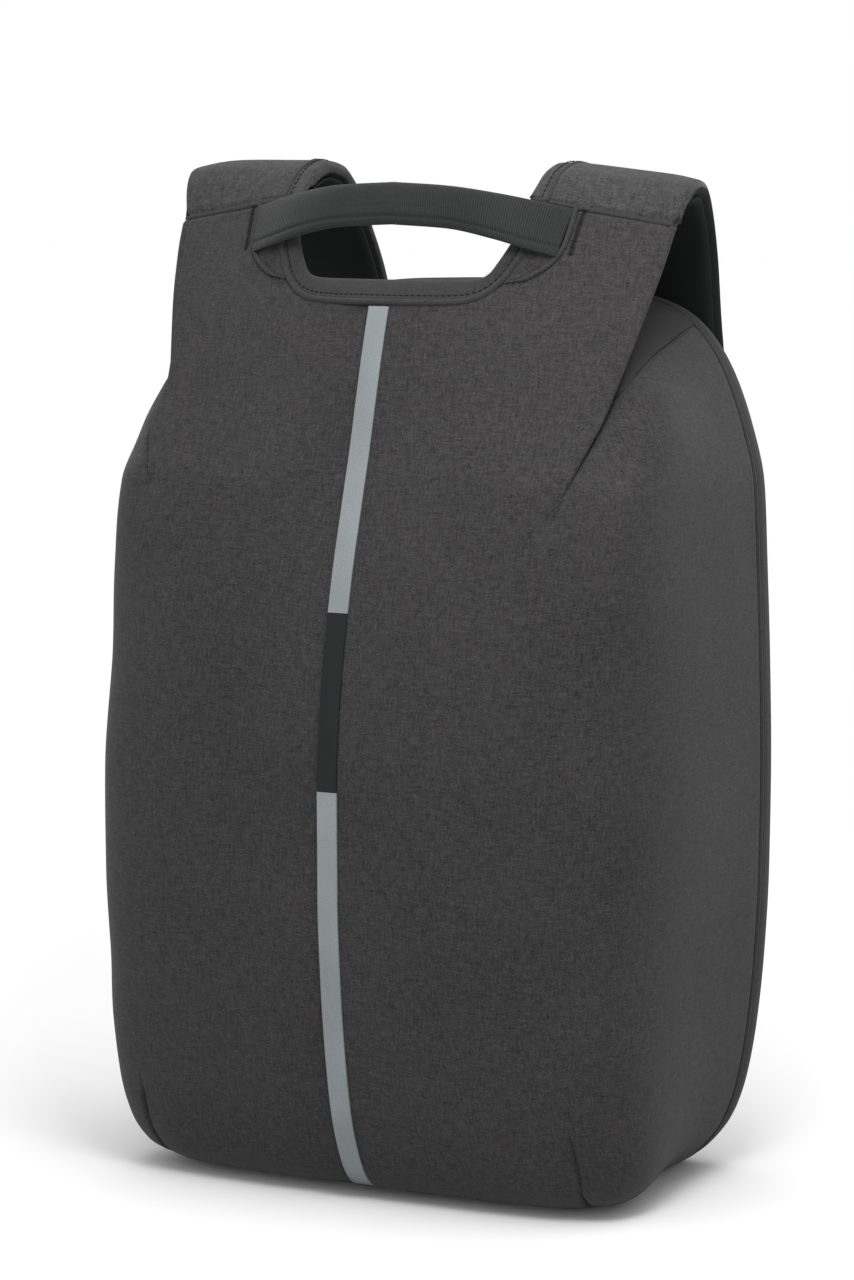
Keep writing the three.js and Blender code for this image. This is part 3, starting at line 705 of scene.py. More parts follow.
def smooth_band(name, colour):
    """Smooth, nearly black rubber."""
    g = Graph(name, roughness=0.5, shine=0.2)
    grain = g.noise(g.spread(), scale=1500, detail=2)
    cloud = g.noise(g.place(), scale=25, detail=2)
    g.colour(g.ramp(cloud, (0.3, colour), (0.7, times(colour, 1.35))))
    g.feed(g.shader.inputs["Roughness"], g.mad(grain, 0.2, 0.42))
    g.bump(grain, 0.00008, 0.4)
    return g.material


def moulded(name, colour):
    """Moulded plastic with a fine grain and rubbed places."""
    g = Graph(name, roughness=0.45)
    grain = g.noise(g.place(), scale=900, detail=2)
    rub = g.noise(g.place(), scale=60, detail=3)
    g.colour(g.ramp(rub, (0.3, colour), (0.75, times(colour, 1.6))))
    g.feed(g.shader.inputs["Roughness"], g.mad(rub, 0.25, 0.35))
    g.bump(grain, 0.00006, 0.6)
    return g.material


def thread(name, colour):
    g = Graph(name, roughness=0.8, sheen=0.05, shine=0.1)
    twist = g.noise(g.place(), scale=2500, detail=1)
    g.colour(g.ramp(twist, (0.3, colour), (0.7, times(colour, 1.8))))
    return g.material


# Each material with its darkest and lightest colour, or with its colour alone.
FABRIC = melange("shell_fabric", (0.0065, 0.0062, 0.0064), (0.0405, 0.0385, 0.0394))
# The strap cloth is lighter than the shell cloth: that extra lightness is painted light for the
# straps' up-facing tops.
STRAP_FABRIC_PAINTED_LIGHT = melange("strap_fabric_painted_light", (0.0084, 0.0083, 0.0086), (0.053, 0.0522, 0.0538))
PIPING = melange("piping_fabric", (0.0095, 0.0093, 0.0095), (0.0385, 0.0375, 0.0382), contrast=0.6)
GUSSET = melange(
    "gusset_fabric", (0.012, 0.0124, 0.0122), (0.036, 0.0362, 0.0358), 0.0006, 0.8, 0.06
)
LINING = melange(
    "lining_fabric", (0.0063, 0.0071, 0.0069), (0.0136, 0.0152, 0.0146), 0.0006, 0.4, 0.03
)
MESH = spacer_mesh("back_mesh", (0.005, 0.0055, 0.0055), (0.028, 0.03, 0.03))
HANDLE_RIB = ribbed("handle_rib", (0.0074, 0.008, 0.0078), (0.028, 0.0295, 0.029), 0.0012)
WEBBING_RIB = ribbed("webbing_rib", (0.008, 0.009, 0.009), (0.03, 0.032, 0.032), 0.0016)
REFLECTIVE = beaded("reflective", (0.085, 0.094, 0.097), (0.176, 0.192, 0.199))
LABEL = smooth_band("label", (0.0034, 0.0039, 0.0041))
PLASTIC = moulded("buckle", (0.012, 0.013, 0.014))
THREAD = thread("thread", (0.004, 0.004, 0.004))


# The body's cloth


WING_STEPS = np.concatenate(
    [np.linspace(55, 79, 22), np.linspace(80, 99, 12), [100.2], np.linspace(101, FRONT_HALF, 7)]
)
FRONT_STEPS = np.concatenate(
    [
        -WING_STEPS[::-1],
        np.linspace(-53, -9, 20),
        [-7.8, -7.0, -6.7, -6.4, -6.1, -5.9, -5.6, -5.2, -4.4],
        np.linspace(-3, 9, 6),
        np.linspace(11.5, 53, 19),
        WING_STEPS,
    ]
)
MIDDLE = int(np.argmin(np.abs(FRONT_STEPS)))
FIXED = 12  # the strip's surroundings keep their width while the wings fan out
THINNEST = 0.4


def thickness(z):
    """The front sheet's thickness, which grows from the slit upwards."""
    return THINNEST + (SHEET_THICKNESS - THINNEST) * smooth((z - SLIT_HEIGHT) / 9)


# How far the sewn wing edges stray sideways from the pattern near their lower ends.
DRIFT = by_height(
    "z right left",
    [
        (290, 0, 0), (338, -3.4, -6.2), (352, -2.2, -7.6), (364, -1, -8.2), (376, 0, -6),
        (388, 0, -1.5), (396, 0, 0),
    ],
)


def drift(x, z):
    stray = np.where(x > 0, DRIFT["right"](z), DRIFT["left"](z))
    return stray * smooth((np.abs(x) - 30) / 70)


def fan(z):
    """How far the columns beyond the fixed ones are spread at a height."""
    return (FRONT["wing"](z) - thickness(z) / 2 - FIXED) / (FRONT_HALF - FIXED)


def front_x(t, z):
    """The front's x for a column, which fans out with the wings."""
    beyond = np.abs(t) - FIXED
    x = np.where(beyond > 0, np.sign(t) * (FIXED + beyond * fan(z)), t)
    return x + drift(x, z)


def column_of(x, z):
    """The column for an x, leaving the drift out."""
    beyond = np.abs(x) - FIXED
    return np.where(beyond > 0, np.sign(x) * (FIXED + beyond / fan(z)), x)


def edge_x(side, z):
    """How far from the middle the front sheet's edge lies on one side."""
    return side * front_x(np.full_like(z, side * FRONT_HALF, dtype=float), z)


# How the columns of a side are spread: crowded at the rim and, above, at the gusset's seam.
RIM_STEPS = np.array([0, 0.5, 1.0, 1.5, 2.0, 2.6, 3.4, 4.8])
SEAM_STEPS = np.array([0, 0.3, 0.6, 0.9, 1.3, 1.8, 2.3, 2.9, 3.6, 4.6, 6.0])
DART_STEPS = np.concatenate([[7.4, 8.6], np.arange(9.4, 15.2, 0.5), [16, 17.4]])
FRONT_END_STEPS = np.concatenate([SEAM_STEPS, DART_STEPS])
SIDE_COLUMNS = 86
LOW_HEIGHTS = np.concatenate(
    [
        [0, 0.8, 1.8, 3, 4.2, 5.5, 7, 8.5, 10, 11.6, 13.2],
        np.arange(15, 60, 1.8),
        np.arange(61, 318, 3.3),
        np.arange(318.5, SLIT_HEIGHT, 1.3),
        [SLIT_HEIGHT],
    ]
)


def side_row(z, stop_x, stop_y=None):
    """A side's points at a height, on the right, from the rim to where it stops."""
    line = section(z)
    at = lengths(line)
    start = np.interp(RIM_DEPTH, -line[:, 1], at)
    widest = int(np.argmax(line[:, 0]))
    stop = np.interp(-stop_x, -line[widest:, 0], at[widest:])
    if stop_y is not None:
        stop = min(stop, np.interp(-stop_y, -line[:, 1], at))
    spots = crowded(start, max(start + 0.01, stop), RIM_STEPS, FRONT_END_STEPS, SIDE_COLUMNS)
    return raised(along(line, spots, at), z)


def front_row(z):
    """The front's points at a height up to the slit, left to right."""
    x = front_x(FRONT_STEPS, z)
    return np.stack([x, front_y(x, z), np.full_like(x, z)], -1)


# The crease that runs on below each slit, and the dimple at the left one's end.
TIP_LOW, TIP_DIMPLE = {1: 331, -1: 339}, {1: 0, -1: 1.6}
TIP_DEPTH = 1.5
RIM_SINK = 1.7  # how far the cloth sinks beside the rim's piping


def dart_dent(x, y, z):
    """The darts at the base: a narrow crease in a shallow hollow, deeper downwards."""
    dart = even(np.stack([BASE_DART["x"], BASE_DART["z"]], -1), 1.0)
    flat = np.stack([np.abs(x), z], -1)
    gap = np.linalg.norm(flat[..., None, :] - dart, axis=-1)
    deep = smooth(gap.argmin(-1) / len(dart) * DART_GROWTH) * smooth((-y - 95) / 15)
    gap = gap.min(-1)
    return deep * (DART_DEPTH * bell(gap, DART_WIDTH) + HOLLOW_DEPTH * bell(gap, 8))


def slit_dent(points, side):
    edge = edge_x(side, SLIT_HEIGHT)
    end = (side * edge, -SLIT_DEPTH, SLIT_HEIGHT + 1)
    tip = np.array([end, (side * (edge - 2.5), -SLIT_DEPTH - 1.8, TIP_LOW[side])])
    slit = np.linalg.norm(points[..., None, :] - even(tip, 1.0), axis=-1).min(-1)
    dimple = bell(np.linalg.norm(points - tip[0], axis=-1), 4)
    return TIP_DEPTH * (bell(slit, 1.7) + bell(slit, 8)) + TIP_DIMPLE[side] * dimple


def dented(points):
    """Small true dents: the fold beside the strip, the darts and the cloth's slow swell."""
    x, y, z = points[..., 0], points[..., 1], points[..., 2]
    quiet = smooth(z / 20) * (1 - smooth((z - 425) / 20))
    push = fold(x) * smooth((-y - 90) / 30)
    push += swell(x, z) * quiet * smooth((-y - 20) / 30)
    push += RIM_SINK * smooth((y + RIM_DEPTH + 3.2) / 2.6)
    return push + dart_dent(x, y, z) + slit_dent(points, 1) + slit_dent(points, -1)


def joined(points, row, reach=12):
    """Eases a grid's first row onto the row of cloth below it."""
    fade = 1 - smooth((points[..., 2] - SLIT_HEIGHT) / reach)
    return points + (row - points[0]) * fade[..., None]


def body_cloth():
    rows = []
    for z in LOW_HEIGHTS:
        front = front_row(z)
        left = mirrored(side_row(z, -front[0, 0]))
        rows.append(np.concatenate([left[:-1], front, side_row(z, front[-1, 0])[::-1][1:]]))
    low = np.array(rows)
    base = np.array([low[0] * (k, k, 1) for k in np.linspace(0.02, 0.97, 16)])
    skin = np.concatenate([base, low])
    middle = SIDE_COLUMNS - 1 + MIDDLE
    spread = measured(skin, column=middle)
    spread[..., 1] -= spread[len(base), middle, 1]
    normals = outward(skin)
    normals[: len(base)] = (0, 0, -1)
    push = dented(skin)
    push[: len(base) + 1] = 0
    skin = skin - normals * push[..., None]
    cloth = Cloth().grid(skin, spread)
    first, last = SIDE_COLUMNS - 1, SIDE_COLUMNS - 1 + len(FRONT_STEPS)
    sheet_into(cloth, skin[-1, first:last], spread[-1, first:last])
    upper_side_into(cloth, -1, skin[-1, : first + 1], spread[-1, 0])
    upper_side_into(cloth, 1, skin[-1, last - 1 :][::-1], spread[-1, -1])
    return cloth.made("front_skin", FABRIC)


def opening_path(count):
    """The hand opening from left to right: the piping's line and the band's free edge."""
    s = np.linspace(0, OPENING_STEPS, count)
    o = {k: f(s) for k, f in OPENING.items()}
    line = np.stack([o["x"], -(front_depth(o["x"], o["z"]) - 0.6), o["z"]], -1)
    free = np.stack([o["edge_x"], o["edge_y"], o["edge_z"]], -1)
    return both_halves(line), both_halves(free)


def seam_height(x):
    t = np.maximum(0, (np.abs(x) - STRAP_INNER) / (STRAP_OUTER - STRAP_INNER))
    return mix(SEAM_HIGH, SEAM_LOW, t)


def sheet_top(t):
    """How high the front sheet reaches at each column."""
    line, _ = opening_path(60)
    half = line[len(line) // 2 :]
    around = column_of(half[:, 0], half[:, 2])
    seam = np.full_like(t, (SEAM_HIGH + SEAM_LOW) / 2)
    for _ in range(5):
        seam = seam_height(front_x(t, seam))
    return np.where(np.abs(t) > around[-1], seam, np.interp(np.abs(t), around, half[:, 2]))


SHEET_ROWS = 78
ROLL_STEPS = 6
EDGE_STEPS = np.array([0, 0.5, 1.0, 1.6, 2.3, 3.2, 4.5])
HEM_WIDTH = 2.4
PATCH_SINK = 1.5  # how far the sheet gives way behind the patch under a handle end


def window_depth(x, z):
    """1 where the patch under a handle end lies, easing to 0 outside its edge."""
    edge = np.interp(z, WINDOW["z"][::-1], WINDOW["x"][::-1])
    foot = np.interp(np.abs(x), WINDOW["x"][::-1], WINDOW["z"][::-1])
    inside = np.minimum(edge - np.abs(x), z - foot)
    return smooth(inside / 1.2) * (np.abs(x) > 56)


def sheet_points(t, z):
    x = front_x(t, z)
    forward = mix(square_on(x, np.minimum(z, 365)), 1, smooth((z - SLIT_HEIGHT) / 25))
    return np.stack([x, -front_depth(x, z) * forward, z], -1)


def sheet_spread(points, start):
    """Real lengths from the middle at one height, and up the middle of the front."""
    x, z = points[..., 0], points[..., 2]
    part = x[..., None] * np.linspace(0, 1, 21)
    across = np.sign(x) * np.hypot(np.diff(part), np.diff(front_depth(part, z[..., None]))).sum(-1)
    heights = np.linspace(SLIT_HEIGHT, SEAM_HIGH, 137)
    climb = lengths(np.stack([-FRONT["nose"](heights), heights], -1))
    fade = 1 - smooth((z - SLIT_HEIGHT) / 12)
    across = across + (start[:, 0] - across[0]) * fade
    return np.stack([across, start[0, 1] + np.interp(z, heights, climb)], -1)


def sheet_creases(face, top):
    """The sheet's folds into its seams: opening, straps, hems and patches."""
    z = face[..., 2]
    opening, _ = opening_path(240)
    push = crease_at(nearest_to(face, opening), 1.1, 3.0)
    from_seam = top - z + 10 * (np.abs(FRONT_STEPS) < 50)
    push += crease_at(from_seam, 1.3, 2.4) * (z > SEAM_LOW - 6)
    from_edge = FRONT["wing"](z) - thickness(z) / 2 - np.abs(face[..., 0])
    push += crease_at(np.abs(from_edge - HEM_WIDTH), 0.7, 1.2) * smooth((z - 432) / 12)
    edge = window_line()
    patch = on_sheet(edge[:, 0], edge[:, 2])
    for side in (1, -1):
        push += crease_at(nearest_to(face, on_side(patch, side)), 0.9, 3.2)
    return push


def rolled(edge, beside, normals, half):
    """A half round from an edge of the sheet's face to its back, column by column."""
    out = unit(edge - beside)
    angles = np.linspace(0, math.pi, ROLL_STEPS + 2)[1:-1, None, None]
    arc = edge + normals * half * (np.cos(angles) - 1) + out * half * np.sin(angles)
    return np.swapaxes(arc, 0, 1)


def sheet_into(cloth, row, start):
    """The front above the slit: a thick sheet with rolled edges, cut away at the top."""
    t = np.repeat(FRONT_STEPS[None], SHEET_ROWS, 0)
    top = sheet_top(FRONT_STEPS)
    z = np.stack([crowded(SLIT_HEIGHT, h, (0,), EDGE_STEPS, SHEET_ROWS) for h in top], 1)
    face = sheet_points(t, z)
    normals = outward(face)
    half = thickness(z)[..., None] / 2
    push = dented(face) + sheet_creases(face, top)
    face = face - normals * push[..., None]
    back = face - normals * 2 * half
    face = face - normals * PATCH_SINK * window_depth(face[..., 0], z)[..., None]
    face = joined(face, row)
    back = joined(back, face[0] - normals[0] * 2 * half[0])
    right = rolled(face[:, -1], face[:, -2], normals[:, -1], half[:, -1])
    left = rolled(face[:, 0], face[:, 1], normals[:, 0], half[:, 0])[:, ::-1]
    ring = np.concatenate([face, right, back[:, ::-1], left], 1)
    spread = measured(ring, wrap=True, column=MIDDLE)
    shift = sheet_spread(face, start) - spread[:, : len(FRONT_STEPS)]
    spread[:, : len(FRONT_STEPS)] += shift
    spread[:, len(FRONT_STEPS) :] += shift[:, -1:]
    cloth.grid(ring, spread, wrap=True)
    cloth.grid(np.stack([face[-1], back[-1]]))


TUCK_DEPTH = {1: 3.2, -1: 0.9}  # above the dart, where the left wing lies closer


def tucked(points, side):
    """Moves a side's points inwards, most where the sheet's edge lies over them."""
    x, y, z = points[..., 0], points[..., 1], points[..., 2]
    near = smooth((edge_x(side, z) + 6 - np.abs(x)) / 7) * smooth((z - SLIT_HEIGHT) / 8)
    forward = smooth((-y - 60) / 60)
    out = points.copy()
    deep = mix(TUCK_DEPTH[1], TUCK_DEPTH[side], smooth((z - 356) / 16))
    out[..., 1] += forward * (1.5 * smooth((z - SLIT_HEIGHT) / 25) + deep * near)
    return out


SEAM_HEIGHTS = np.linspace(375.5, 414, 30)  # along the seam to the gusset
SIDE_HEIGHTS = np.concatenate([np.linspace(SLIT_HEIGHT, 374, 18), SEAM_HEIGHTS])
SEAM_START = 352  # below this height the front sheet hides where the side stops
UNDERLAP = 14  # how far the side reaches in under the front sheet

# The folded edge of the side along the gusset's seam.
SEAM_ROLL = columns(
    "from_edge rise",
    [
        (0, -1.5), (0.3, -0.2), (0.6, 0.35), (1.0, 0.6), (1.5, 0.5), (2.1, 0.05), (2.8, -0.35),
        (3.8, -0.1), (5, 0),
    ],
)


def upper_side_into(cloth, side, row, start):
    """A side above the slit, up to its seam with the gusset."""
    rows = []
    for z in SIDE_HEIGHTS:
        stop = edge_x(side, z) - UNDERLAP * smooth((z - SLIT_HEIGHT) / 14)
        rows.append(side_row(z, stop, float(TOP_SEAM["y"](z)) if z > SEAM_START else None))
    right = np.array(rows)
    normals = -outward(right)
    edge = np.linalg.norm(right - right[:, -1:], axis=-1)
    rise = np.interp(edge, SEAM_ROLL["from_edge"], SEAM_ROLL["rise"])
    grid, normals = right * (side, 1, 1), normals * (side, 1, 1)
    push = dented(grid) - rise * smooth((SIDE_HEIGHTS - 366) / 10)[:, None]
    grid = tucked(grid - normals * push[..., None], side)
    grid = joined(grid, row)
    across = start[0] - side * measured(right)[..., 0]
    up = start[1] + np.repeat(lengths(right[:, 0])[:, None], SIDE_COLUMNS, 1)
    cloth.grid(grid, np.stack([across, up], -1), flip=side > 0)


GUSSET_HEIGHTS = np.concatenate(
    [SEAM_HEIGHTS, np.linspace(415.5, 432, 12), [433, 434, 434.6, 434.9]]
)
GUSSET_COLUMNS = 96
SEAM_END = 414.5  # above this height the gusset starts at the back rim


def gusset_cloth():
    rows = []
    for z in GUSSET_HEIGHTS:
        line = section(z)
        at = lengths(line)
        start_y = min(float(TOP_SEAM["y"](z)), -RIM_DEPTH) if z < SEAM_END else -RIM_DEPTH
        start = np.interp(-start_y, -line[:, 1], at)
        spots = crowded(start, at[-1], SEAM_STEPS, (0,), GUSSET_COLUMNS)
        right = raised(along(line, spots, at), z)
        rows.append(np.concatenate([right, mirrored(right[::-1][1:])]))
    rows.append(rows[-1] * (0, 1, 1) + (0, 0, 0.1))
    skin = np.array(rows)
    x, y, z = skin[..., 0], skin[..., 1], skin[..., 2]
    under = smooth((FRONT["wing"](z) + 4 - np.abs(x)) / 6) * smooth((-y - 70) / 20)
    start = np.linalg.norm(skin - skin[:, :1], axis=-1)
    end = np.linalg.norm(skin - skin[:, -1:], axis=-1)
    seam = crease_at(np.minimum(start, end), 1.5, 4.5)
    skin = skin + outward(skin) * seam[..., None]
    skin[..., 1] += 1.9 + 3.2 * under
    return Cloth().grid(skin, flip=True).made("top_gusset_cloth", GUSSET)


# The back rim


def rim_line(pitch=3.0):
    """The loop round the bag at its back, counted from the middle of the base."""
    z = np.concatenate([np.linspace(0, 30, 60), np.linspace(31, 435, 400)])
    right = np.stack([BODY["rim"](z), np.zeros_like(z), z], -1)
    right[-1, 0] = 0
    floor = np.linspace((0, 0, 0), (right[0, 0] - 1, 0, 0), 60)
    half = np.concatenate([floor, right])
    loop = np.concatenate([half, mirrored(half[::-1][1:-1])])
    return softened(even(loop, pitch, closed=True), 6, closed=True)


RIM = rim_line()


def inwards(loop, distance, y):
    """The loop moved towards the panel's middle, in the plane at y."""
    run = unit(np.roll(loop, -1, 0) - np.roll(loop, 1, 0))
    inner = np.stack([-run[:, 2], np.zeros(len(loop)), run[:, 0]], -1)
    moved = loop + inner * distance
    moved[:, 1] = y
    moved[:, 2] = np.maximum(moved[:, 2], 0.2)
    return moved


RIM_SECTION = columns(
    "inset y",
    [
        (2.8, -12.9), (1.5, -12.2), (0.6, -11.6), (0.15, -10.9), (0.35, -10.2), (0.0, -9.2),
        (0.0, -7.5), (0.0, -5.5), (0.3, -3.2), (1.0, -1.4), (2.2, -0.2), (3.6, 0.3), (4.7, 0.1),
        (5.2, -1.0), (5.0, -4.0), (3.4, -9.0),
    ],
)


def rim_band_cloth():
    rings = [inwards(RIM, i, y) for i, y in zip(RIM_SECTION["inset"], RIM_SECTION["y"])]
    grid = np.stack(rings + rings[:1])
    grid = np.concatenate([grid, grid[:, :1]], 1)
    cloth = Cloth().grid(np.transpose(grid, (1, 0, 2)))
    return cloth.made("rim_band_cloth", PIPING, outwards=True)


def rim_piping_cloth():
    path = inwards(RIM, 1.1, -RIM_DEPTH)
    out = inwards(RIM, 0, -RIM_DEPTH) - path
    cloth = tube(Cloth(), path, PIPING_RADIUS, 14, unit(out), closed=True)
    return cloth.made("rim_piping_cloth", PIPING, outwards=True)


# The hand opening


BAND_SECTION = columns(
    "across lift",
    [
        (0.07, -0.9), (0.10, 0.1), (0.17, 0.5), (0.26, 0.35), (0.36, 0.9), (0.50, 1.4),
        (0.66, 1.55), (0.80, 1.3), (0.91, 0.6), (0.98, -0.3), (1.0, -1.2), (0.95, -2.0),
        (0.80, -2.3), (0.45, -2.2), (0.15, -1.9),
    ],
)
STITCH_ACROSS = 0.26
OPENING_POINTS = 110


def band_frames():
    line, free = opening_path(OPENING_POINTS)
    run = unit(np.gradient(line, axis=0))
    across = free - line
    over = unit(np.cross(run, across))
    return line, across, over


def opening_band_cloth():
    line, across, over = band_frames()
    rings = line[:, None] + across[:, None] * BAND_SECTION["across"][None, :, None]
    rings = rings + over[:, None] * BAND_SECTION["lift"][None, :, None]
    return Cloth().loft(rings).made("opening_band_cloth", PIPING, outwards=True)


def opening_stitches():
    line, across, over = band_frames()
    path = line + across * STITCH_ACROSS + over * 0.4
    return stitch_line(path[4:-4], over[4:-4]).made("opening_stitches", THREAD)


def opening_piping_cloth():
    line, _ = opening_path(OPENING_POINTS)
    cloth = tube(Cloth(), line, PIPING_RADIUS - 0.1, 14, FORWARD)
    return cloth.made("opening_piping_cloth", PIPING, outwards=True)


# The patches under the handle's ends


def window_line():
    corners = np.stack([WINDOW["x"], np.zeros(len(WINDOW["x"])), WINDOW["z"]], -1)
    return even(softened(even(corners, 0.7), 12), 1.0)


def on_sheet(x, z, lift=0.0):
    return np.stack([x, -(front_depth(x, z) + lift), z], -1)


PATCH_ROWS, PATCH_COLUMNS = 60, 34


def patch_cloth(side):
    """The cloth between the patch's outer edge and the hand opening."""
    opening, _ = opening_path(OPENING_POINTS)
    right = opening[len(opening) // 2 :]
    inner = right[right[:, 2] > WINDOW["z"][-1]][::-1]
    edge, inner = parted(window_line(), PATCH_ROWS), parted(inner, PATCH_ROWS)
    wide = np.linalg.norm(edge - inner, axis=1, keepdims=True)
    u = np.stack([crowded(0, w, EDGE_STEPS, EDGE_STEPS, PATCH_COLUMNS) / w for w in wide[:, 0]])
    plan = mix(edge[:, None], inner[:, None], u[..., None])
    x, z = plan[..., 0], plan[..., 2]
    sunk = crease_at(np.minimum(u, 1 - u) * wide, 0.9, 3.0)
    grid = on_side(on_sheet(x, z, -0.5 - sunk + 0.2 * np.sin(x / 3.1 + z / 5)), side)
    return Cloth().grid(grid, flip=side < 0).made(f"handle_patch_cloth_{word(side)}", FABRIC)


def patch_trim(side):
    """The piping round the patch's outer edge."""
    edge = window_line()
    path = on_side(on_sheet(edge[:, 0], edge[:, 2], 0.1), side)
    left = lengths(path)[-1] - lengths(path)
    radius = TRIM_RADIUS * (0.25 + 0.75 * smooth((left - 1) / 14))
    cloth = tube(Cloth(), path, radius, 12, FORWARD)
    return cloth.made(f"patch_piping_{word(side)}", PIPING, outwards=True)


BARTACK_X, BARTACK_Z = (87.4, 89.4), (450, 471)
BARTACK_REACH, BARTACK_TURNS, BARTACK_RADIUS = 1.1, 52, 0.26


def bartack(side):
    """A tight zigzag of thread that holds the handle's end."""
    z = np.linspace(*BARTACK_Z, BARTACK_TURNS)
    x = np.linspace(*BARTACK_X, BARTACK_TURNS)
    x += BARTACK_REACH * (-1.0) ** np.arange(BARTACK_TURNS)
    path = on_side(on_sheet(x, z, 0.15), side)
    cloth = tube(Cloth(), path, BARTACK_RADIUS, 6, FORWARD)
    return cloth.made(f"bartack_{word(side)}", THREAD, outwards=True)


# Handle


FOLD_ABOVE, FOLD_LINE_DEPTH, HANDLE_SLANT, SQUARENESS = 4.4, 0.9, 1.5, 0.72


def handle_cloth():
    """A folded band: its lower edge shows the fold's seam, and its ends slant a little."""
    s = np.linspace(0, HANDLE_STEPS, 90)
    h = {k: f(s)[:, None] for k, f in HANDLE.items()}
    angle = (np.arange(80) / 80 * 2 * math.pi)[None]
    sin, cos = np.sin(angle), np.cos(angle)
    up = h["half"] * np.sign(sin) * np.abs(sin) ** SQUARENESS
    out = h["fat"] / 2 * np.sign(cos) * np.abs(cos) ** SQUARENESS
    out = out - FOLD_LINE_DEPTH * bell(up + h["half"] - FOLD_ABOVE, 0.7) * (cos > 0)
    x = h["x"] + HANDLE_SLANT * (s[:, None] / HANDLE_STEPS) ** 3 * up / h["half"]
    half = np.stack([x, h["y"] - out + h["lean"] * up / h["half"], h["z"] + up], -1)
    cloth = Cloth().loft(both_halves(half))
    return cloth.made("carry_handle_cloth", HANDLE_RIB, outwards=True)


# Straps


PAD_ROWS = 190
BAND_WIDTH = 9.8  # the band along a strap's inner edge
STITCHES_INSIDE = 2.9  # how far its stitches lie from its seam
PAD_EDGE = 2.6
SEAM_RADIUS = 1.5
FACE_MIDDLE = 20  # a column in the middle of a strap's face
UNDER_COLUMNS, UNDER_START = 20, 0.015
THINNED, THINNED_REACH = 0.62, 16  # a strap is thinner where its seam holds it
LEFT_RISE = 4.5


def strap_points(step, u, depth):
    """Points across a strap at steps along it: u from the inner edge, depth inwards."""
    s = {k: f(step) for k, f in STRAP.items()}
    a, b = np.maximum(0, step - 0.05), np.minimum(STRAP_STEPS, step + 0.05)
    rise = STRAP["z"](b) - STRAP["z"](a)
    angle = np.arctan2(STRAP["y"](b) - STRAP["y"](a), rise) * smooth(step / 1.5)
    out_y, out_z = -np.cos(angle), np.sin(angle)
    x = mix(s["inner"][:, None], s["outer"][:, None], u)
    y = s["y"][:, None] + s["back"][:, None] * (u - 0.5) - out_y[:, None] * depth
    z = s["z"][:, None] - s["drop"][:, None] * (u - 0.5) - out_z[:, None] * depth
    return np.stack([x, y, z], -1)


def strap_lengths(steps):
    """How far along a strap's middle line its steps lie."""
    return lengths(strap_points(steps, np.full((len(steps), 1), 0.5), 0.0)[:, 0])


def pad_steps():
    base = np.linspace(0, STRAP_STEPS, PAD_ROWS)
    at = strap_lengths(base)
    return np.interp(crowded(0, at[-1], EDGE_STEPS, (0,), PAD_ROWS), at, base)


def pad_face(width):
    """Across the face in mm from the inner edge: the places, and how deep each lies."""
    inner = np.array([0.0, 0.25, 0.9, 2.0, 3.4, 5.0, 6.6])
    groove = BAND_WIDTH + np.array([-1.6, -1.1, -0.6, 0.0, 0.6, 1.1, 1.6])
    rest = np.linspace(BAND_WIDTH + 3, width - 5, 16)
    outer = width - np.array([3.4, 2.0, 0.9, 0.25, 0.0])
    mm = np.concatenate([inner, groove, rest, outer])
    edge = np.minimum(mm, width - mm)
    deep = 3.2 * (1 - np.minimum(1, edge / PAD_EDGE)) ** 2.2 + 1.2 * bell(edge, 9)
    deep = deep + crease_at(np.abs(mm - BAND_WIDTH), 1.3, 1.9)
    return mm / width, deep


def strap_width(step):
    return STRAP["outer"](step) - STRAP["inner"](step)


def strap_cloth(side):
    """A strap's pad: its face, and an underside of lining cloth."""
    steps = pad_steps()
    at = strap_lengths(steps)
    seam = crease_at(at, 1.3, 3.2)
    fat = STRAP["fat"](steps) * (1 - crease_at(at, THINNED, THINNED_REACH))
    under_u = np.linspace(1 - UNDER_START, UNDER_START, UNDER_COLUMNS)
    curl = 1.8 * bell(np.minimum(under_u, 1 - under_u) - UNDER_START, 0.02)
    rings = []
    for i, step in enumerate(steps):
        u, deep = pad_face(strap_width(step))
        depth = np.concatenate([deep + seam[i], fat[i] - curl])
        end = min(1.0, (len(steps) - 1 - i) / 4 + 0.35)
        depth = mix(fat[i] / 2, depth, end)
        across = np.concatenate([u, under_u])[None]
        rings.append(strap_points(np.array([step]), across, depth[None])[0])
    rings = np.array(rings)
    column = np.arange(rings.shape[1])
    wave = 0.25 * np.sin(lengths(rings[:, FACE_MIDDLE]) / 9.5)[:, None]
    rings[..., 2] += wave * (column < len(u))
    under = (column >= len(u) - 1) & (column < column[-1])
    cloth = Cloth().loft(on_side(rings, side), slot=under.astype(int))
    return cloth.made(f"strap_cloth_{word(side)}", STRAP_FABRIC_PAINTED_LIGHT, LINING, outwards=True)


def strap_line(mm, depth, first=0.0):
    """A line along a strap, mm from its inner edge, and the directions out of the face."""
    steps = pad_steps()
    steps = steps[steps >= first]
    u = (mm / strap_width(steps))[:, None]
    path = strap_points(steps, u, np.full_like(u, depth))[:, 0]
    above = strap_points(steps, u, np.full_like(u, depth - 1.0))[:, 0]
    return path, unit(above - path)


def strap_trim(side):
    """Piping along the band at the strap's inner edge, and across its seam to the wing."""
    cloth = Cloth()
    path, up = strap_line(BAND_WIDTH, 0.85)
    tube(cloth, path, TRIM_RADIUS, 10, up)
    u = np.linspace(0.02, 0.99, 60)[None]
    seam = strap_points(np.array([0.0]), u, np.full_like(u, 2.4))[0]
    at = lengths(seam)
    radius = SEAM_RADIUS * (0.5 + 0.5 * smooth(np.minimum(at, at[-1] - at) / 4))
    tube(cloth, seam + (0, 0, -0.6), radius, 12, FORWARD, flat=1.25)
    piece = cloth.made(f"strap_piping_{word(side)}", PIPING, outwards=True)
    return flipped(piece) if side < 0 else piece


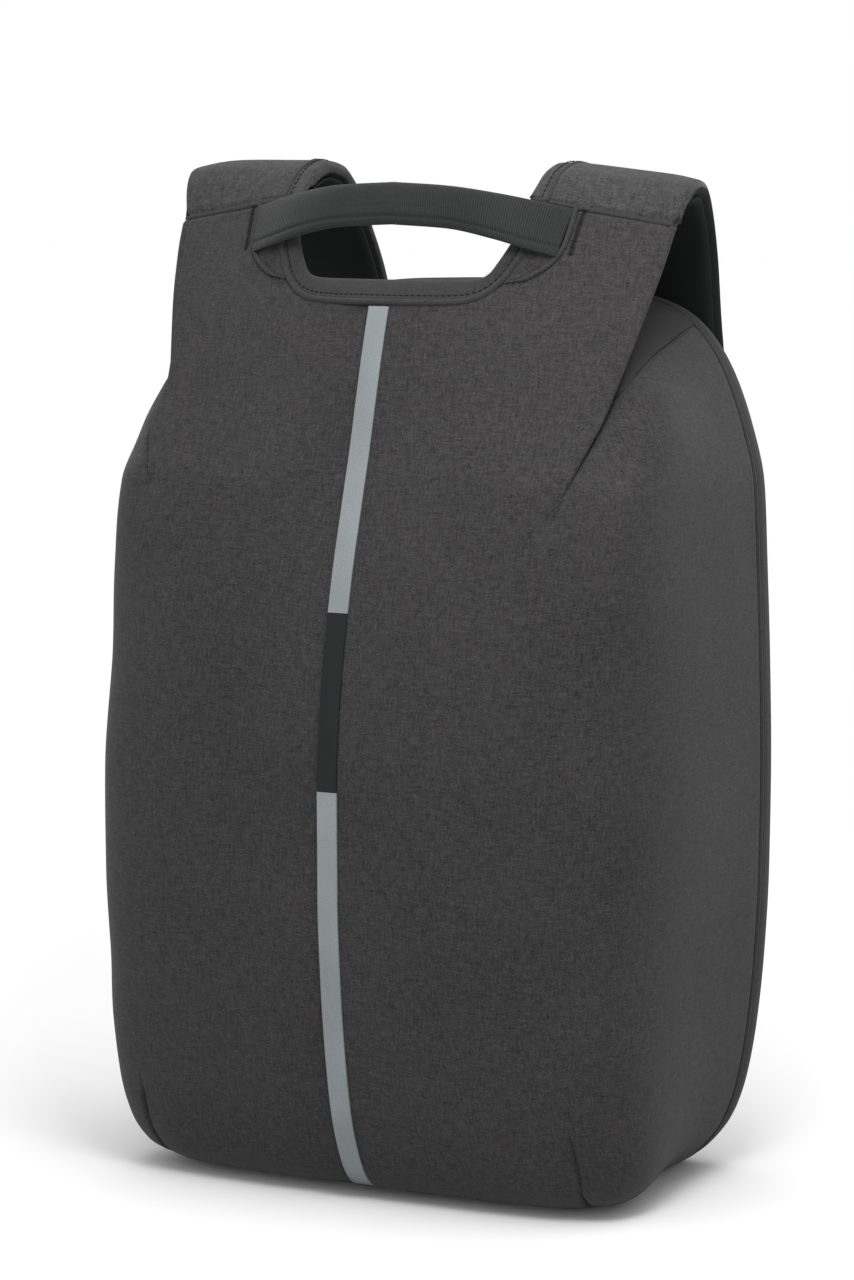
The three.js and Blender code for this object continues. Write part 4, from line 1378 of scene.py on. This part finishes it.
def strap_stitches(side):
    path, up = strap_line(BAND_WIDTH - STITCHES_INSIDE, 0.35, first=0.15)
    piece = stitch_line(path, up).made(f"strap_stitches_{word(side)}", THREAD)
    return flipped(piece) if side < 0 else piece


def flipped(piece):
    """Mirrors a finished piece to the bag's left."""
    move_to(piece.data, mirrored(places(piece.data)))
    piece.data.flip_normals()
    return piece


def lifted(piece):
    """Raises the outer top of the left strap, which arches higher than the right one."""
    co = places(piece.data)
    outer = smooth((-co[:, 0] / MM - 62) / 60)
    high = smooth((co[:, 2] / MM - 468) / 16)
    co[:, 2] += LEFT_RISE * MM * outer * high
    move_to(piece.data, co)
    return piece


# The lining under a strap: where it starts and stops, its margin, gap and thickness.
LINING_FROM, LINING_TO = STRAP_STEPS / 28, STRAP_STEPS * 25 / 28
LINING_MARGIN, LINING_GAP, LINING_THICKNESS = 2.5, 0.4, 2.6
LINING_OVER, LINING_BELOW = 8, 26


def strap_lining_cloth(side):
    steps = pad_steps()
    steps = steps[(steps >= LINING_FROM) & (steps <= LINING_TO)]
    rings = []
    for i, step in enumerate(steps):
        width = strap_width(step)
        rim = LINING_MARGIN / width
        over = np.linspace(rim, 1 - rim, LINING_OVER)
        below = np.linspace(1 - rim, rim, LINING_BELOW)
        edge = np.minimum(below - rim, 1 - rim - below) * width
        crown = LINING_THICKNESS - 1.7 * (1 - np.minimum(1, edge / 3.5)) ** 2
        end = min(1.0, min(i, len(steps) - 1 - i) / 4 + 0.3)
        depth = np.concatenate([np.zeros(LINING_OVER), crown * end]) + STRAP["fat"](step)
        across = np.concatenate([over, below])[None]
        rings.append(strap_points(np.array([step]), across, depth[None] + LINING_GAP)[0])
    cloth = Cloth().loft(on_side(np.array(rings), side))
    return cloth.made(f"strap_lining_cloth_{word(side)}", LINING, outwards=True)


# Lower webbing


def webbing_cloth(side):
    corners = np.stack([WEBBING["x"], WEBBING["y"], WEBBING["z"]], -1)
    path = softened(even(corners, 1.0), 6)
    run = unit(np.gradient(path, axis=0))
    over = unit(np.cross(run, (1, 0, 0)))
    over = over * np.sign(over[:, 1:2])
    u = np.linspace(-0.5, 0.5, 13)
    rib = 0.12 * np.cos(u * 6 * math.pi)
    face = path[:, None] + np.array([1, 0, 0]) * (u * WEBBING_WIDTH)[None, :, None]
    lift = over[:, None] * (rib + WEBBING_THICKNESS)[None, :, None]
    cloth = Cloth().loft(on_side(np.concatenate([face + lift, face[:, ::-1]], 1), side))
    return cloth.made(f"webbing_cloth_{word(side)}", WEBBING_RIB, outwards=True, crease=50)


def softened_solid(node, name, material, radius):
    """A solid of the source with its edges rounded."""
    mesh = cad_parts[node].data.copy()
    mesh.name = name
    mesh.materials.clear()
    mesh.materials.append(material)
    work = bmesh.new()
    work.from_mesh(mesh)
    bmesh.ops.remove_doubles(work, verts=work.verts, dist=0.01 * MM)
    bmesh.ops.dissolve_limit(work, angle_limit=math.radians(4), verts=work.verts, edges=work.edges)
    sharp = [e for e in work.edges if len(e.link_faces) == 2 and e.calc_face_angle() > 0.5]
    bmesh.ops.bevel(
        work, geom=sharp, offset=radius * MM, segments=3, affect="EDGES", clamp_overlap=True
    )
    layer = work.loops.layers.uv.new("cloth")
    for face in work.faces:
        face.smooth = True
        for loop in face.loops:
            loop[layer].uv = (loop.vert.co.x, loop.vert.co.z)
    work.to_mesh(mesh)
    work.free()
    mesh.set_sharp_from_angle(angle=math.radians(45))
    return placed(name, mesh)


# The front strip

# Half of the strip's section, from its edge to its middle.
STRIP_SECTION = columns("x lift", [(5.25, 0), (5.25, 0.6), (4.9, 0.95), (3, 1), (0, 1)])
STRIP_PITCH = 3


def strip_cloth(name, low, high, material):
    """A length of the strip, laid on the front and its dents."""
    first = math.ceil(low / STRIP_PITCH) * STRIP_PITCH + 1.5
    heights = np.concatenate([[low], np.arange(first, high - 1, STRIP_PITCH), [high]])
    half = STRIP_SECTION
    across = np.concatenate([-half["x"], half["x"][-2::-1]])
    lift = np.concatenate([half["lift"], half["lift"][-2::-1]])
    x, z = np.meshgrid(across, heights)
    low_part = np.stack([front_y(across, h) for h in heights])
    depth = np.where(z <= SLIT_HEIGHT, -low_part, front_depth(x, z))
    push = dented(np.stack([np.maximum(x, FOLD_X + 1), -depth, z], -1))
    face = np.stack([x, -(depth - push + 0.15 + lift), z], -1)
    back = face[:, [-1, 0]] + (0, 1.0, 0)
    ring = np.concatenate([face, back], 1)
    spread = np.stack(np.meshgrid(1.2 * np.arange(ring.shape[1] + 1), heights), -1)
    cloth = Cloth().grid(ring, spread, wrap=True)
    cloth.cap(ring[0], flip=True)
    cloth.cap(ring[-1])
    return cloth.made(name, material, outwards=True, crease=40)


# The back panel


PANEL_EDGE = columns("inset y", [(5.6, -7), (5.3, -2.5), (5.8, 0.2), (8, 1.6), (12, 2.6)])
PANEL_CROWN = columns(
    "scale y",
    [(0.9, 3.3), (0.8, 3.8), (0.68, 4.1), (0.54, 4.2), (0.38, 4.2), (0.22, 4.2), (0.08, 4.2)],
)
CHANNEL_DEPTH, CHANNEL_WIDTH = 2.6, 7
SIMULATED_FRAMES = 20


def back_panel_cloth():
    """The padded panel: rings from its hidden edge to the middle of its crown."""
    rings = [inwards(RIM, i, y) for i, y in zip(PANEL_EDGE["inset"], PANEL_EDGE["y"])]
    edge = rings[-1]
    for scale, y in zip(PANEL_CROWN["scale"], PANEL_CROWN["y"]):
        ring = softened(edge, round(8 * (1 - scale)), closed=True)
        ring = mix(edge.mean(0), ring, scale)
        ring[:, 1] = y
        rings.append(ring)
    grid = np.stack(rings)
    cloth = Cloth().grid(grid, wrap=True)
    cloth.cap(grid[0], flip=True)
    cloth.cap(grid[-1])
    panel = cloth.made("back_panel_cloth", MESH, outwards=True)
    puffed(panel, voxel=5, pressure=2.5, most=3.5)
    finish_panel(panel)
    return panel


def puffed(piece, voxel, pressure, most):
    """Blows a pad up as sewn cloth round foam, by a short cloth simulation."""
    scene = bpy.context.scene
    bpy.context.view_layer.objects.active = piece
    remesh = piece.modifiers.new("remesh", "REMESH")
    remesh.mode = "VOXEL"
    remesh.voxel_size = voxel * MM
    apply_modifiers(piece)
    start = places(piece.data)
    held = piece.vertex_groups.new(name="held")
    floor_y = (RIM_PLANE + 0.6) * MM
    held.add([int(i) for i in np.flatnonzero(start[:, 1] < floor_y)], 1.0, "REPLACE")
    cloth = piece.modifiers.new("cloth", "CLOTH")
    cloth.settings.quality = 5
    cloth.settings.use_pressure = True
    cloth.settings.uniform_pressure_force = pressure
    cloth.settings.effector_weights.gravity = 0
    cloth.settings.vertex_group_mass = "held"
    cloth.settings.tension_stiffness = 25
    cloth.settings.compression_stiffness = 25
    cloth.settings.bending_stiffness = 2
    for number in range(1, SIMULATED_FRAMES + 1):
        scene.frame_set(number)
    settled = piece.evaluated_get(bpy.context.evaluated_depsgraph_get()).to_mesh()
    move = places(settled) - start
    far = np.linalg.norm(move, axis=1, keepdims=True)
    move *= np.minimum(1, most * MM / np.maximum(far, 1e-9))
    piece.modifiers.clear()
    scene.frame_set(1)
    move_to(piece.data, start + move)


def apply_modifiers(piece):
    depsgraph = bpy.context.evaluated_depsgraph_get()
    made = bpy.data.meshes.new_from_object(piece.evaluated_get(depsgraph))
    piece.modifiers.clear()
    piece.data = made


def finish_panel(panel):
    """One subdivision, a sewn channel down the middle, and the map for the mesh cloth."""
    panel.modifiers.new("finer", "SUBSURF").levels = 1
    apply_modifiers(panel)
    mesh = panel.data
    co = places(mesh)
    x, y, z = (co / MM).T
    ending = smooth((z - 40) / 40) * (1 - smooth((z - 330) / 50))
    back = y > RIM_PLANE + 1
    co[:, 1] -= back * ending * CHANNEL_DEPTH * MM * bell(x, CHANNEL_WIDTH)
    move_to(mesh, co)
    if not mesh.uv_layers:
        mesh.uv_layers.new(name="cloth")
    layer = mesh.uv_layers[0]
    layer.name = "cloth"
    corner = np.zeros(len(mesh.loops), int)
    mesh.loops.foreach_get("vertex_index", corner)
    layer.data.foreach_set("uv", co[corner][:, [0, 2]].ravel())
    mesh.polygons.foreach_set("use_smooth", [True] * len(mesh.polygons))
    mesh.materials.clear()
    mesh.materials.append(MESH)


# Putting the bag together


def settle(piece, slot, *nodes):
    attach(piece, "root")
    if nodes:
        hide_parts(*nodes)
    return piece


settle(body_cloth(), "shell_fabric", "body_shell")
settle(gusset_cloth(), "gusset_fabric", "top_gusset")
settle(rim_band_cloth(), "shell_fabric", "rim_band")
settle(rim_piping_cloth(), "shell_fabric", "rim_piping")
settle(opening_band_cloth(), "shell_fabric", "opening_band")
settle(opening_piping_cloth(), "shell_fabric", "opening_piping")
settle(opening_stitches(), "shell_fabric")
upper = strip_cloth("strip_upper_tape", LABEL_HIGH + GAP, STRIP_HIGH, REFLECTIVE)
settle(upper, "reflective", "strip_upper")
bare = strip_cloth("strip_label_band", LABEL_LOW + GAP, LABEL_HIGH, LABEL)
settle(bare, "label", "strip_label")
lower = strip_cloth("strip_lower_tape", STRIP_LOW, LABEL_LOW, REFLECTIVE)
settle(lower, "reflective", "strip_lower")
settle(handle_cloth(), "webbing", "carry_handle")
settle(back_panel_cloth(), "back_mesh", "back_panel")
for side in (1, -1):
    settle(patch_cloth(side), "shell_fabric", f"handle_patch_{word(side)}")
    settle(patch_trim(side), "shell_fabric")
    settle(bartack(side), "webbing")
    strap = [make(side) for make in (strap_cloth, strap_trim, strap_stitches, strap_lining_cloth)]
    if side < 0:
        strap = [lifted(piece) for piece in strap]
    settle(strap[0], "shell_fabric", f"strap_{word(side)}")
    settle(strap[1], "shell_fabric")
    settle(strap[2], "shell_fabric")
    settle(strap[3], "back_mesh", f"strap_lining_{word(side)}")
    settle(webbing_cloth(side), "webbing", f"webbing_{word(side)}")
    node = f"adjuster_{word(side)}"
    settle(softened_solid(node, f"adjuster_body_{word(side)}", PLASTIC, 0.9), "buckle", node)
    node = f"base_tab_{word(side)}"
    settle(softened_solid(node, f"base_tab_cloth_{word(side)}", WEBBING_RIB, 0.7), "webbing", node)


# Floor, light and camera


FLOOR_REACH, FLOOR_GREY = 12, 0.62


def floor_sheet():
    paper = Graph("floor_paper", roughness=0.9)
    paper.colour((FLOOR_GREY, FLOOR_GREY, FLOOR_GREY, 1))
    r = FLOOR_REACH
    mesh = bpy.data.meshes.new("floor")
    mesh.from_pydata([(-r, -r, 0), (r, -r, 0), (r, r, 0), (-r, r, 0)], [], [(0, 1, 2, 3)])
    mesh.materials.append(paper.material)
    placed("floor", mesh)


def facing(direction):
    return Vector(direction).to_track_quat("-Z", "Y").to_euler()


def softbox(name, position, target, size, power):
    light = bpy.data.lights.new(name, "AREA")
    light.size = size
    light.energy = power
    holder = placed(name, light)
    holder.location = position
    holder.rotation_euler = facing(Vector(target) - Vector(position))
    holder.visible_camera = False


def high_sun(strength, direction, spread):
    """An overhead studio light, broad enough for soft shadows."""
    light = bpy.data.lights.new("overhead", "SUN")
    light.energy = strength
    light.angle = math.radians(spread)
    placed("overhead", light).rotation_euler = facing(direction)


def white_world():
    world = bpy.data.worlds.new("studio")
    world.use_nodes = True
    background = world.node_tree.nodes["Background"]
    background.inputs["Color"].default_value = (1, 1, 1, 1)
    background.inputs["Strength"].default_value = 1.0
    bpy.context.scene.world = world


floor_sheet()
high_sun(1.9, (-0.1, 0.08, -0.99), 50)
softbox("shoulder", (0.3, -0.4, 0.8), (0.1, -0.1, 0.43), 0.25, 3.8)
softbox("low_front", (0.2, -1.6, 0.25), (0, 0, 0.05), 0.6, 5)
white_world()
bpy.context.scene.view_settings.view_transform = "Standard"

CAMERA_TURN = math.radians(28)
CAMERA_DISTANCE = 2.10
CAMERA_AIM = Vector((0, -0.0133, 0.238))
CAMERA_HEIGHT = 0.518
camera = bpy.data.cameras.new("camera")
camera.sensor_width = 36
camera.lens = 122.74
camera.shift_x = 0.0031
camera.shift_y = 0.039
eye = placed("camera", camera)
eye.location = (
    CAMERA_AIM.x + CAMERA_DISTANCE * math.sin(CAMERA_TURN),
    CAMERA_AIM.y - CAMERA_DISTANCE * math.cos(CAMERA_TURN),
    CAMERA_HEIGHT,
)
eye.rotation_euler = facing(CAMERA_AIM - eye.location)
bpy.context.scene.camera = eye
